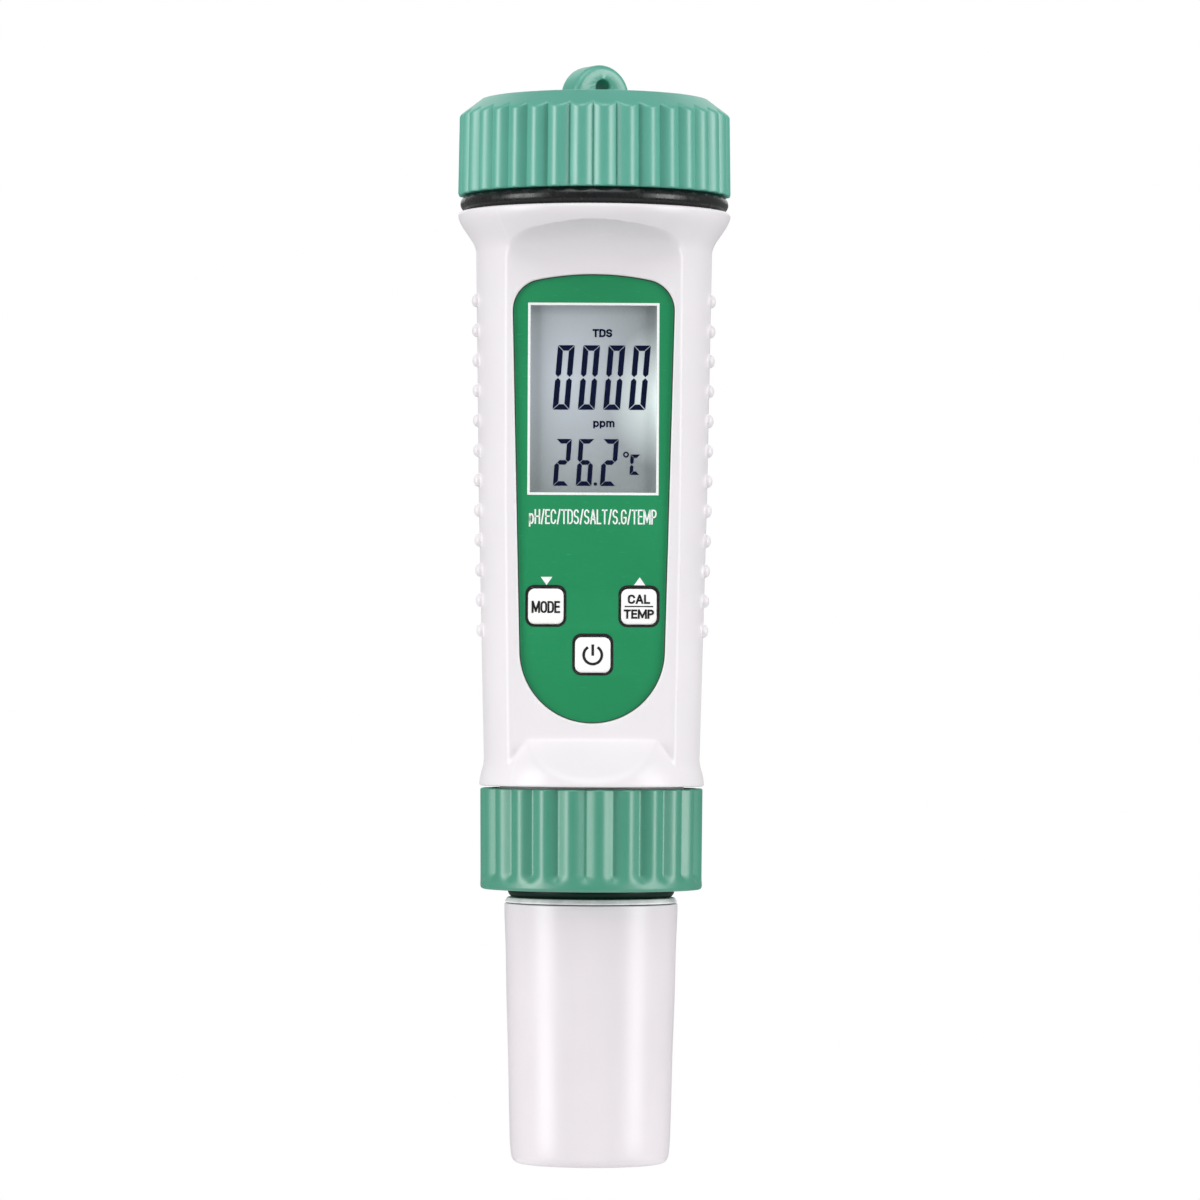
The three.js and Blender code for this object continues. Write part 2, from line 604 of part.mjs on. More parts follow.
function batteryCap() {
  const { root, crest, pitch, start } = CAP_THREAD;
  const grip = flutedPrism(CAP_FLUTES, BATTERY_CAP_BOTTOM, BATTERY_CAP_TOP);
  const outline = revolve([
    [0, BATTERY_CAP_BOTTOM],
    [CAP_FLUTES.radius + 0.3, BATTERY_CAP_BOTTOM],
    [CAP_FLUTES.radius + 0.3, BATTERY_CAP_TOP - CAP_SHOULDER.fall],
    [CAP_FLUTES.radius - CAP_SHOULDER.inset, BATTERY_CAP_TOP - CAP_SHOULDER.edgeFall],
    [CAP_FLUTES.radius - CAP_SHOULDER.edgeInset, BATTERY_CAP_TOP],
    [0, BATTERY_CAP_TOP],
  ], CAP_FLUTES.count);
  const outside = solidOf(grip).intersect(solidOf(outline));
  const hollow = revolve([
    [0, BATTERY_CAP_BOTTOM - 1],
    [crest + GAP, BATTERY_CAP_BOTTOM - 1],
    [crest + GAP, NECK_TOP + 0.6],
    [root + GAP, NECK_TOP + 1.2],
    [root + GAP, BATTERY_CAP_TOP - 2.8],
    [root - 1.5, BATTERY_CAP_TOP - CAP_TOP_WALL],
    [0, BATTERY_CAP_TOP - CAP_TOP_WALL],
  ]);
  const ridge = threadRidge(CAP_THREAD, crest + GAP, root + GAP, start + pitch / 2);
  const bossBottom = BATTERY_CAP_TOP - SWIVEL_BOSS.height;
  const boss = disc(SWIVEL_BOSS.radius, bossBottom, BATTERY_CAP_TOP - 1, 20);
  const screwHole = disc(SCREW.hole, bossBottom - 1, BATTERY_CAP_TOP - 1, SMALL_ROUND);
  return geometryOf(
    outside
      .subtract(solidOf(hollow))
      .add(solidOf(ridge))
      .add(solidOf(boss))
      .add(solidOf(lanyardLug()))
      .subtract(solidOf(screwHole)),
  );
}

// The half-round lug for a lanyard, standing across the top of the cap.
function lanyardLug() {
  const { radius, thickness, edge } = LUG;
  const centreZ = LUG_TOP - radius;
  const shape = new THREE.Shape();
  shape.absarc(0, centreZ, radius - edge, 0, Math.PI);
  shape.lineTo(-radius + edge, BATTERY_CAP_TOP - 0.5);
  shape.lineTo(radius - edge, BATTERY_CAP_TOP - 0.5);
  shape.closePath();
  const hole = new THREE.Path();
  hole.absarc(0, BATTERY_CAP_TOP + LUG.holeHeight, LUG.hole, 0, 2 * Math.PI);
  shape.holes.push(hole);
  const settings = {
    depth: thickness - 2 * edge,
    bevelThickness: edge,
    bevelSize: edge,
    bevelSegments: 1,
    curveSegments: 6,
  };
  const upright = new THREE.ExtrudeGeometry(shape, settings).translate(0, 0, edge - thickness / 2);
  return upright.rotateX(Math.PI / 2).rotateZ(THREE.MathUtils.degToRad(LUG.turn));
}

function contactDisc() {
  const { radius, bottom, top, counterboreTop } = CONTACT_DISC;
  const body = disc(radius, bottom, top);
  const counterbore = disc(CONTACT_DISC.counterbore, bottom - 0.8, counterboreTop, 16);
  const screwHole = disc(SCREW.hole, bottom - 0.8, top + 1.1, SMALL_ROUND);
  return cut(body, counterbore, screwHole);
}

function swivelScrew() {
  const head = disc(SCREW.head, SWIVEL_HEAD.bottom, SWIVEL_HEAD.top, 12);
  const shank = disc(SCREW.shank, SWIVEL_HEAD.top - 0.3, BATTERY_CAP_TOP - 1.3, 12);
  return join(head, shank);
}

function buildBatteryEnd() {
  const capRing = roundRing(CAP_ORING.inner, CAP_ORING.outer, RIM_TOP + GAP, BATTERY_CAP_BOTTOM - GAP);
  add("cap_oring", capRing, materials.rubber);
  add("battery_tray", batteryTray(), materials.black);
  CELL_PLACES.forEach(([x, y], i) => {
    const cell = revolve([
      [0, CELL.bottom],
      [CELL.radius, CELL.bottom],
      [CELL.radius, CELL.bottom + CELL.height - CELL.step.z],
      [CELL.radius - CELL.step.r, CELL.bottom + CELL.height],
      [0, CELL.bottom + CELL.height],
    ], 20);
    add(`button_cell_${i + 1}`, cell.translate(x, y, 0), materials.steel);
  });
  add("rear_cell_link", cellLink(CELL.offset, CELL.bottom - GAP - STRIP.thickness), materials.nickel);
  add("left_cell_terminal", cellTerminal(-CELL.offset), materials.nickel);
  add("right_cell_terminal", cellTerminal(CELL.offset), materials.nickel);
  add("battery_cap", batteryCap(), materials.greenGrip);
  add("contact_disc", contactDisc(), materials.black);
  const bridgeBottom = TRAY.top + GAP;
  for (const [side, name] of [[-1, "left"], [1, "right"]]) {
    const x = side * CELL.offset;
    const reach = CELL.offset + 3;
    const [low, high] = [x - STRIP.halfWidth, x + STRIP.halfWidth];
    const bridge = block(low, high, -reach, reach, bridgeBottom, bridgeBottom + STRIP.thickness);
    add(`${name}_cap_contact`, bridge, materials.nickel);
  }
  add("swivel_screw", swivelScrew(), materials.steel);
}

// ---------------------------------------------------------------- probe, collar and storage cap

function collar() {
  const { root, crest, pitch, start } = COLLAR_THREAD;
  const lipTop = COLLAR_BOTTOM + COLLAR_LIP.thickness;
  const grip = flutedPrism(COLLAR_FLUTES, COLLAR_BOTTOM + 1.1, COLLAR_TOP);
  const rim = revolve([
    [0, COLLAR_BOTTOM],
    [COLLAR_FLUTES.radius - COLLAR_RIM.edge, COLLAR_BOTTOM],
    [COLLAR_FLUTES.radius - COLLAR_RIM.inset, COLLAR_BOTTOM + COLLAR_RIM.rise],
    [COLLAR_FLUTES.radius - COLLAR_RIM.inset, COLLAR_BOTTOM + COLLAR_RIM.height],
    [0, COLLAR_BOTTOM + COLLAR_RIM.height],
  ], 2 * COLLAR_FLUTES.count);
  const hollow = revolve([
    [0, COLLAR_BOTTOM - 1],
    [COLLAR_LIP.bore, COLLAR_BOTTOM - 1],
    [COLLAR_LIP.bore, lipTop],
    [crest + GAP, lipTop],
    [crest + GAP, COLLAR_TOP + 1],
    [0, COLLAR_TOP + 1],
  ]);
  const ridge = threadRidge(COLLAR_THREAD, crest + GAP, root + GAP, start + pitch / 2);
  const outside = solidOf(grip).add(solidOf(rim));
  return geometryOf(outside.subtract(solidOf(hollow)).add(solidOf(ridge)));
}

// The pins and sensors that reach into the water round the glass electrode.
const PROBE_PINS = {
  left_conductivity_pin: { x: -4.4, y: -4, radius: 0.9, bottom: 13 },
  right_conductivity_pin: { x: 4.4, y: -4, radius: 0.9, bottom: 13 },
  temperature_sensor: { x: 0, y: 5.6, radius: 1.2, bottom: 12 },
  reference_junction: { x: 5.2, y: 2.6, radius: 0.8, bottom: 21.6 },
};
const PIN_TOP = 32;

function probeBody() {
  const [shoulder, flange] = [PROBE_SHOULDER, PROBE_FLANGE];
  const body = revolve([
    [0, BOSS_END],
    [BOSS_RADIUS, BOSS_END],
    [BOSS_RADIUS, SPIGOT_END],
    [SPIGOT_RADIUS - 0.6, SPIGOT_END],
    [SPIGOT_RADIUS, SPIGOT_END + 0.6],
    [SPIGOT_RADIUS, CAP_GROOVE.bottom],
    [CAP_GROOVE.radius, CAP_GROOVE.bottom],
    [CAP_GROOVE.radius, CAP_GROOVE.top],
    [SPIGOT_RADIUS, CAP_GROOVE.top],
    [SPIGOT_RADIUS, SEAL_RING_TOP + GAP],
    [shoulder.seat, SEAL_RING_TOP + GAP],
    [shoulder.radius, SEAL_RING_TOP + shoulder.rise],
    [shoulder.radius, flange.bottom],
    [flange.radius, flange.bottom],
    [flange.radius, flange.top],
    [PROBE_NECK, flange.top],
    [PROBE_NECK, BORE_GROOVE.bottom],
    [BORE_GROOVE.radius, BORE_GROOVE.bottom],
    [BORE_GROOVE.radius, BORE_GROOVE.top],
    [PROBE_NECK, BORE_GROOVE.top],
    [PROBE_NECK, PROBE_TOP - 0.6],
    [PROBE_NECK - 0.6, PROBE_TOP],
    [0, PROBE_TOP],
  ]);
  const board = PROBE_BOARD;
  const slot = block(
    -board.halfWidth - GAP, board.halfWidth + GAP,
    board.front - GAP, board.back + GAP,
    board.bottom - GAP, PROBE_TOP + 1,
  );
  const pinHoles = Object.values(PROBE_PINS).map(({ x, y, radius }) =>
    disc(radius + GAP, BOSS_END - 1, PIN_TOP + GAP, SMALL_ROUND).translate(x, y, 0),
  );
  const electrodeHole = disc(ELECTRODE.radius + GAP, BOSS_END - 1, ELECTRODE.top + GAP, 20);
  return cut(body, slot, electrodeHole, ...pinHoles);
}

// A thin glass tube with a round bulb at its lower end, open at the top.
function glassElectrode() {
  const { radius, wall, bulb, bulbZ, top } = ELECTRODE;
  const steps = 6;
  const arc = (r, from, to) => {
    const points = [];
    for (let i = 0; i <= steps; i++) {
      const angle = from + ((to - from) * i) / steps;
      points.push([r * Math.cos(angle), bulbZ + r * Math.sin(angle)]);
    }
    return points;
  };
  const neckAngle = Math.acos(radius / bulb);
  const inner = bulb - wall;
  const innerNeck = Math.acos((radius - wall) / inner);
  const outside = [...arc(bulb, -Math.PI / 2, neckAngle), [radius, top]];
  outside[0][0] = 0;
  const inside = [[radius - wall, top], ...arc(inner, innerNeck, -Math.PI / 2)];
  inside[inside.length - 1][0] = 0;
  return revolve([...outside, ...inside], 16);
}

function electrodeGuard() {
  const { inner, outer, bottom, top, rim, legs, legWidth } = GUARD;
  const upper = ring(inner, outer, top - rim, top, 24);
  const lower = ring(inner - 1, outer, bottom, bottom + rim, 24);
  const cross = [];
  for (let i = 0; i < legs; i++) {
    const leg = block(inner + 0.1, outer - 0.15, -legWidth / 2, legWidth / 2, bottom + 0.5, top - 0.5);
    cross.push(leg.rotateZ(((i + 0.5) / legs) * 2 * Math.PI));
  }
  return join(upper, lower, ...cross);
}

function probePin({ x, y, radius, bottom }) {
  const profile = [[0, bottom], [radius * 0.7, bottom + radius * 0.3], [radius, bottom + radius]];
  return revolve([...profile, [radius, PIN_TOP], [0, PIN_TOP]], 12).translate(x, y, 0);
}

function sensorCap() {
  return revolve([
    [0, 0],
    [11.2, 0],
    [12.4, 0.6],
    [12.95, 1.8],
    [13.45, 17.4],
    [SENSOR_CAP_LEAD.outer, SENSOR_CAP_LEAD.z],
    [14.15, SENSOR_CAP_TOP - 1.6],
    [14.18, SENSOR_CAP_TOP],
    [12.85, SENSOR_CAP_TOP],
    [SENSOR_CAP_LEAD.inner, SENSOR_CAP_LEAD.z],
    [11.7, 3],
    [10.8, SENSOR_CAP_FLOOR],
    [0, SENSOR_CAP_FLOOR],
  ]);
}

// The socket on the end of the circuit board that the probe's own board plugs into.
function probeSocket() {
  const { halfWidth, front, back } = PROBE_BOARD;
  const { wall, bottom, top, slotBottom, slotTop } = SOCKET;
  const body = block(-SOCKET.halfWidth, SOCKET.halfWidth, front - wall, back + wall, bottom, top);
  const slot = block(-halfWidth - GAP, halfWidth + GAP, front - GAP, back + GAP, slotBottom, slotTop);
  return cut(body, slot);
}

// An O-ring that lies in a groove and stands a little proud of the wall round it.
function grooveRing({ radius, bottom, top, squeeze }, wall) {
  const { lift } = GROOVE_RING;
  return roundRing(radius + lift, wall + squeeze, bottom + lift, top - lift);
}

function buildProbeEnd() {
  const { halfWidth, front, back, bottom, top } = PROBE_BOARD;
  add("probe_socket", probeSocket(), materials.black);
  add("probe_body", probeBody(), materials.greenProbe);
  add("probe_board", block(-halfWidth, halfWidth, front, back, bottom, top), materials.board);
  add("probe_bore_oring", grooveRing(BORE_GROOVE, PROBE_NECK), materials.rubber);
  add("probe_cap_oring", grooveRing(CAP_GROOVE, SPIGOT_RADIUS), materials.rubber);
  const sealRing = [
    [13.9, SENSOR_CAP_TOP + GAP],
    [14.1, SENSOR_CAP_TOP + GAP + 0.2],
    [13.4, SEAL_RING_TOP],
    [12.6, SEAL_RING_TOP],
    [12.6, SENSOR_CAP_TOP + GAP],
  ];
  add("seal_ring", revolve([...sealRing, sealRing[0]]), materials.silicone);
  add("glass_electrode", glassElectrode(), materials.clear);
  add("electrode_wire", disc(WIRE.radius, WIRE.bottom, WIRE.top, 8), materials.nickel);
  for (const [name, pin] of Object.entries(PROBE_PINS)) {
    add(name, probePin(pin), name === "reference_junction" ? materials.silicone : materials.steel);
  }
  add("electrode_guard", electrodeGuard(), materials.whiteShell);
  add("collar", collar(), materials.greenGrip);
  add("sensor_cap", sensorCap(), materials.whiteShell);
  add("storage_sponge", disc(SPONGE.radius, SPONGE.bottom, SPONGE.top, 24), materials.sponge);
}

add("body_shell", housing(), materials.whiteShell);
buildFace();
buildBatteryEnd();
buildProbeEnd();

export default tester;
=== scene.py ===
"""The looks of a pen-shaped digital water tester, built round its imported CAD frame.

Shapes are worked out in millimetres, with +Z up and the display facing -Y. They turn into metres as each
mesh is made.
"""

import math

import bmesh
import bpy
import numpy as np
from mathutils import Matrix, Vector


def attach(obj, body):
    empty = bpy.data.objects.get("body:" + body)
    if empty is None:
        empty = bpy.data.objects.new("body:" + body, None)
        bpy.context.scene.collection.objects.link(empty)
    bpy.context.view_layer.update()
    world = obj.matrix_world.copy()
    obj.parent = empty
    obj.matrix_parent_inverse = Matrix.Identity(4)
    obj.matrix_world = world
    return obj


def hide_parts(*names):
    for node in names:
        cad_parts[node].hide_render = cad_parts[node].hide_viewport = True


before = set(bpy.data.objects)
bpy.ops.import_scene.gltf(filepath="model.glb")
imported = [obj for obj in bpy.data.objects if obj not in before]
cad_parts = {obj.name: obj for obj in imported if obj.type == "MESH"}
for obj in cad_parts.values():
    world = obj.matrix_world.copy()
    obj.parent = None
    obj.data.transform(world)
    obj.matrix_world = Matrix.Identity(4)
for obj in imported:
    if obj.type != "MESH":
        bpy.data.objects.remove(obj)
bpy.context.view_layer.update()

MM = 0.001

# Heights along the axis
CAP_RIM = 42.45
SEAL_TOP = 43.45
COLLAR_BOTTOM, COLLAR_TOP = 44.8, 61.3
SPIGOT_BOTTOM, HOUSING_BOTTOM = 49.0, 61.7
FACE_BOTTOM, FACE_TOP = 69.4, 145.3
RIM_TOP = 155.6
CAP_BOTTOM, CAP_TOP, LUG_TOP = 158.35, 174.2, 179.8
NECK_TOP = 166.5

# Housing
FACE_DEPTH_BOTTOM, FACE_DEPTH_TOP = 11.6, 13.2
FACE_TILT = math.atan((FACE_DEPTH_TOP - FACE_DEPTH_BOTTOM) / (FACE_TOP - FACE_BOTTOM))
GRIP_HEIGHTS = (61.7, 65.4, 108.0, 148.9)
GRIP_RADII = (17.05, 17.65, 18.7, 19.35)
FLARE_START, FLARE_GROWTH = 148.9, 3.0
FOOT_RADIUS, FOOT_CONE_RADIUS, FOOT_CONE_SLOPE = 18.45, 15.6, 0.5
COVE_RADIUS, COVE_TIGHTENING, COVE_SAG = 7.75, 0.3, 0.0104
COVE_REACH = 14.5
BEYOND = 60.0  # a radius past the whole housing
EDGE_BLEND = 0.7
WALL, FRONT_WALL = 2.0, 2.6
NECK_RADIUS, NECK_BORE = 18.2, 15.6
SPIGOT_RADIUS, SPIGOT_BORE = 15.1, 13.2
PARTING_ANGLE = math.radians(81)
PARTING_GROOVE = {"depth": 0.07, "half_width": math.radians(0.3)}
BUMPS = {"count": 12, "low": 87.1, "spacing": 4.9}
RAIL = {"x": 14.4, "half_width": 1.9, "low": 0.8, "high": 79}
RAIL_DEPTHS = ((7.5, 8.7), (12.8, 14.0))  # behind the flat front
CAP_THREAD = {"pitch": 3.0, "turns": 1.5, "foot": 1.3, "tip": 0.7}
COLLAR_THREAD = {"pitch": 2.5, "turns": 1.5, "foot": 1.1, "tip": 0.6}
THREAD_HEIGHT, THREAD_GAP = 0.8, 0.3
CAP_THREAD_START, COLLAR_THREAD_START = 160.8, 52.2

# Cap and ring nut. phase is the angle in degrees from the front to the first groove.
CAP_FLUTES = {"count": 36, "depth": 0.9, "sharpness": 0.6, "phase": -0.6}
COLLAR_FLUTES = {"count": 24, "depth": 0.9, "sharpness": 0.35, "phase": -3.0}
CAP_RADIUS, CAP_BORE = 22.4, 19.3
SHOULDER_START, SHOULDER_SLOPE = 13.05, 1.32
COLLAR_RADIUS, COLLAR_TAPER, COLLAR_BORE = 18.15, 0.12, 16.2
COLLAR_LIP_BORE, COLLAR_LIP = 13.95, 1.3
LUG_RADIUS, LUG_HALF, LUG_EDGE, LUG_TURN = 5.2, 2.7, 0.9, math.radians(30)
LUG_HOLE, LUG_HOLE_Z = 1.25, CAP_TOP + 1.9

# Probe and storage cap
PROBE_RADIUS, PROBE_NECK = 12.3, 12.9
BOSS_BOTTOM, BOSS_RADIUS = 22.6, 7.7
CAP_GROOVE = {"radius": 10.8, "low": 34.6, "high": 37}
BORE_GROOVE = {"radius": 11.4, "low": 54.8, "high": 57}
GROOVE_LIFT, RING_SQUEEZE = 0.3, 0.05
BULB_Z = 14.6
TUBE, BULB = {"outside": 3.0, "inside": 2.3}, {"outside": 3.4, "inside": 2.65}
GUARD_RADIUS = 9.8
PINS = {  # each pin's x, y, radius and lower end
    "left_conductivity_pin": (-4.4, -4.0, 0.9, 13.0),
    "right_conductivity_pin": (4.4, -4.0, 0.9, 13.0),
    "temperature_sensor": (0.0, 5.6, 1.2, 12.0),
    "reference_junction": (5.2, 2.6, 0.8, 21.6),
}
PIN_TOP = 32.0

# The flat front: x across, z up from its lower edge, and heights outwards from its surface
LABEL_HALF_WIDTH, LABEL_TOP, LABEL_ARCH, LABEL_CORNER = 13.08, 75.3, 45.0, 5.0
LABEL_FOOT, LABEL_FOOT_RADIUS = 2.6, 11.75
LABEL_FRONT, LABEL_BACK = -0.6, -1.0
WINDOW_WIDTH, WINDOW_HEIGHT, WINDOW_Z = 20.45, 30.3, 55.15
FRAME_LINE = 0.4
LCD_FRONT = -1.7
KEYS = {"mode": (-7.55, 21.5), "cal": (7.55, 21.5), "power": (0.1, 13.65)}
KEY_SIZE, KEY_HOLE, KEY_CORNER, KEY_FRONT = 5.8, 6.4, 1.1, -0.4
KEY_EDGE = -0.85

# Studio
FLOOR_TOP, FLOOR_THICKNESS, FLOOR_RADIUS = -60, 2, 200
CAMERA_PLACE = (1.3, -984, 78.4)
CAMERA_PITCH, CAMERA_ROLL = 90.8, -0.28


# ---- shapes, as (points, faces)


def blend_low(a, b, width):
    """The smaller of a and b, with the corner between them rounded off."""
    overlap = np.maximum(width - np.abs(a - b), 0)
    return np.minimum(a, b) - overlap**2 / (4 * width)


def blend_high(a, b, width):
    return -blend_low(-a, -b, width)


def smooth_step(t):
    t = np.clip(t, 0, 1)
    return t * t * (3 - 2 * t)


def soften(profile, steps=5):
    """Rounds the corners of an open profile of (radius, height, setback) points.

    setback is how far each rounding reaches.
    """
    points = []
    for i, (r, z, setback) in enumerate(profile):
        here = np.array((r, z))
        if not setback or i in (0, len(profile) - 1):
            points.append(tuple(here))
            continue
        before = np.array(profile[i - 1][:2]) - here
        after = np.array(profile[i + 1][:2]) - here
        start = here + before * min(setback / np.linalg.norm(before), 0.49)
        end = here + after * min(setback / np.linalg.norm(after), 0.49)
        for t in np.linspace(0, 1, steps + 1):
            points.append(tuple((1 - t) ** 2 * start + 2 * t * (1 - t) * here + t**2 * end))
    return points


def rings(radii_and_heights, angles):
    """One row of points round the axis for each (radius, height).

    An angle of 0 is the front. Radius and height may differ with angle.
    """
    rows = []
    for radius, height in radii_and_heights:
        radius = np.broadcast_to(radius, angles.shape)
        height = np.broadcast_to(height, angles.shape)
        rows.append(np.stack([radius * np.sin(angles), -radius * np.cos(angles), height], axis=1))
    return np.array(rows)


def skin(rows, closed=False):
    """A surface over rows of points, each row a loop. closed joins the last row to the first."""
    count, across = rows.shape[:2]
    index = np.arange(count * across).reshape(count, across)
    if closed:
        index = np.vstack([index, index[:1]])
    low, high = index[:-1], index[1:]
    faces = np.stack([low, np.roll(low, -1, axis=1), np.roll(high, -1, axis=1), high], axis=-1)
    return rows.reshape(-1, 3), faces.reshape(-1, 4).tolist()


def turned(profile, sides=96, closed=False, at=(0, 0)):
    """A profile of (radius, height) points turned about an upright axis."""
    angles = np.linspace(0, 2 * math.pi, sides, endpoint=False)
    points, faces = skin(rings(profile, angles), closed)
    return points + np.array((*at, 0)), faces


def bar(x0, x1, y0, y1, z0, z1, edge=0.15):
    """A block with chamfered edges."""
    middle = np.array((x0 + x1, y0 + y1, z0 + z1)) / 2
    half = np.array((x1 - x0, y1 - y0, z1 - z0)) / 2
    corners = [(-1, -1), (1, -1), (1, 1), (-1, 1)]
    rows = []
    for height, inset in ((-1, edge), (-1 + edge / half[2], 0), (1 - edge / half[2], 0), (1, edge)):
        row = []
        for sx, sy in corners:
            first, second = (edge, 0), (0, edge)
            if sx * sy > 0:
                first, second = second, first
            for cx, cy in (first, second):
                x = sx * (half[0] - inset - cx)
                y = sy * (half[1] - inset - cy)
                row.append((x, y, height * half[2]))
        rows.append(row)
    rows = [[(0, 0, -half[2])] * 8, *rows, [(0, 0, half[2])] * 8]
    points, faces = skin(np.array(rows))
    return points + middle, faces


def thread(shape, base, crest, start, steps=72):
    """A helical ridge standing on a wall of radius base. It fades in and out at its ends."""
    inwards = math.copysign(1, base - crest)
    count = round(shape["turns"] * steps)
    rows = []
    for i in range(count + 1):
        angle = 2 * math.pi * i / steps
        rise = float(smooth_step(min(i, count - i) / 8))
        top = base + inwards * 0.1 + (crest - base - inwards * 0.1) * rise
        sunk = base + inwards * 0.4
        foot, tip = shape["foot"] / 2, shape["tip"] / 2
        row = []
        for radius, offset in ((sunk, -foot), (top, -tip), (top, tip), (sunk, foot)):
            height = start + shape["pitch"] * i / steps + offset
            row.append((radius * math.sin(angle), -radius * math.cos(angle), height))
        rows.append(row)
    rows = [[np.mean(rows[0], axis=0)] * 4, *rows, [np.mean(rows[-1], axis=0)] * 4]
    return skin(np.array(rows))


def rounded_box(width, height, corner, x=0.0, z=0.0, steps=8):
    """The outline of a rectangle with round corners, as (x, z) points."""
    corner = max(corner, 0.02)
    points = []
    for quarter, (sx, sz) in enumerate(((1, 1), (-1, 1), (-1, -1), (1, -1))):
        for angle in np.linspace(quarter, quarter + 1, steps + 1) * math.pi / 2:
            px = sx * (width / 2 - corner) + corner * math.cos(angle)
            pz = sz * (height / 2 - corner) + corner * math.sin(angle)
            points.append((x + px, z + pz))
    return points


def label_outline(grow):
    """The label's outline: a half circle at its foot, round upper corners and an arched top."""
    corner_x, arch_z = LABEL_HALF_WIDTH - LABEL_CORNER, LABEL_TOP - LABEL_ARCH
    corner_z = arch_z + math.sqrt((LABEL_ARCH - LABEL_CORNER) ** 2 - corner_x**2)
    turn = math.atan2(corner_z - arch_z, corner_x)
    arcs = (
        (0, LABEL_FOOT + LABEL_FOOT_RADIUS, LABEL_FOOT_RADIUS, math.pi, 2 * math.pi, 96),
        (corner_x, corner_z, LABEL_CORNER, 0, turn, 20),
        (0, arch_z, LABEL_ARCH, turn, math.pi - turn, 40),
        (-corner_x, corner_z, LABEL_CORNER, math.pi - turn, math.pi, 20),
    )
    points = []
    for x, z, radius, start, end, steps in arcs:
        for angle in np.linspace(start, end, steps + 1):
            points.append((x + (radius + grow) * math.cos(angle), z + (radius + grow) * math.sin(angle)))
    return points


def stacked(outlines_and_heights):
    """A solid through outlines on the flat front, each at its own height outwards."""
    rows = [[(x, -height, z) for x, z in outline] for outline, height in outlines_and_heights]
    first, last = np.array(rows[0]), np.array(rows[-1])
    rows = [[first.mean(axis=0)] * len(first), *rows, [last.mean(axis=0)] * len(last)]
    return skin(np.array(rows))


def plate(outlines, back, front, bevel=0.0):
    """A plate on the flat front, cut to closed outlines of (x, z) points. Inner outlines are holes."""
    curve = bpy.data.curves.new("outline", "CURVE")
    curve.dimensions, curve.fill_mode = "2D", "BOTH"
    for outline in outlines:
        spline = curve.splines.new("POLY")
        spline.points.add(len(outline) - 1)
        spline.points.foreach_set("co", [c for x, z in outline for c in (x, z, 0, 1)])
        spline.use_cyclic_u = True
    curve.bevel_depth, curve.offset, curve.bevel_resolution = bevel, -bevel, 2
    curve.extrude = (front - back) / 2 - bevel
    holder = bpy.data.objects.new("holder", curve)
    bpy.context.scene.collection.objects.link(holder)
    bpy.context.view_layer.update()
    mesh = bpy.data.meshes.new_from_object(holder.evaluated_get(bpy.context.evaluated_depsgraph_get()))
    points = np.array([v.co for v in mesh.vertices])
    faces = [list(p.vertices) for p in mesh.polygons]
    bpy.data.objects.remove(holder)
    bpy.data.meshes.remove(mesh)
    bpy.data.curves.remove(curve)
    return np.stack([points[:, 0], -(points[:, 2] + (back + front) / 2), points[:, 1]], axis=1), faces


def arc(x, z, radius, start, end, up=None, steps=14):
    """Points along an arc, its angles in degrees. up is its upright radius where that differs."""
    turns = np.radians(np.linspace(start, end, steps + 1))
    return [(x + radius * math.cos(t), z + (up or radius) * math.sin(t)) for t in turns]


# The letters used, each as its width and its strokes in a box one unit high
G_BAR = [(0.56, 0.45), (0.34, 0.45)]
M_ARCHES = (0.185, 0.555)
LETTERS = {
    "A": (0.58, [[(0, 0), (0.27, 1)], [(0.31, 1), (0.58, 0)], [(0.1, 0.32), (0.48, 0.32)]]),
    "C": (0.54, [arc(0.27, 0.73, 0.27, 10, 180) + arc(0.27, 0.27, 0.27, 180, 350)]),
    "D": (0.54, [[(0, 0), (0, 1), *arc(0.24, 0.7, 0.3, 90, 0), *arc(0.24, 0.3, 0.3, 0, -90), (-0.02, 0)]]),
    "E": (0.44, [[(0.44, 1), (0, 1), (0, 0), (0.44, 0)], [(0, 0.53), (0.4, 0.53)]]),
    "G": (0.56, [arc(0.28, 0.72, 0.28, 15, 180) + arc(0.28, 0.28, 0.28, 180, 360) + G_BAR]),
    "H": (0.54, [[(0, 0), (0, 1)], [(0.54, 0), (0.54, 1)], [(0, 0.52), (0.54, 0.52)]]),
    "L": (0.42, [[(0, 1), (0, 0), (0.42, 0)]]),
    "M": (0.78, [[(x, 0), (x, 1)] for x in (0, 0.78)] + [[(x, 1), (0.39, 0.12)] for x in (0.03, 0.75)]),
    "O": (0.56, [arc(0.28, 0.72, 0.28, 0, 180) + arc(0.28, 0.28, 0.28, 180, 360) + [(0.56, 0.74)]]),
    "P": (0.5, [[(0, 0), (0, 1), *arc(0.24, 0.74, 0.26, 90, -90), (0, 0.48)]]),
    "S": (0.52, [arc(0.26, 0.75, 0.26, 25, 270, 0.25)[:-1] + arc(0.26, 0.25, 0.26, 90, -155, 0.25)]),
    "T": (0.54, [[(0, 1), (0.54, 1)], [(0.27, 1), (0.27, 0)]]),
    "m": (0.74, [
        [(0, 0), (0, 0.7)],
        *[[*arc(x, 0.5, 0.185, 180, 0, 0.2), (x + 0.185, 0)] for x in M_ARCHES],
    ]),
    "p": (0.46, [[(0, -0.2), (0, 0.7)], arc(0.23, 0.35, 0.23, 180, 540, 0.35)]),
    "/": (0.3, [[(0, -0.02), (0.3, 1.02)]]),
    ".": (0.04, [[(0.02, 0), (0.02, 0.04)]]),
}
LETTER_GAP = 0.27


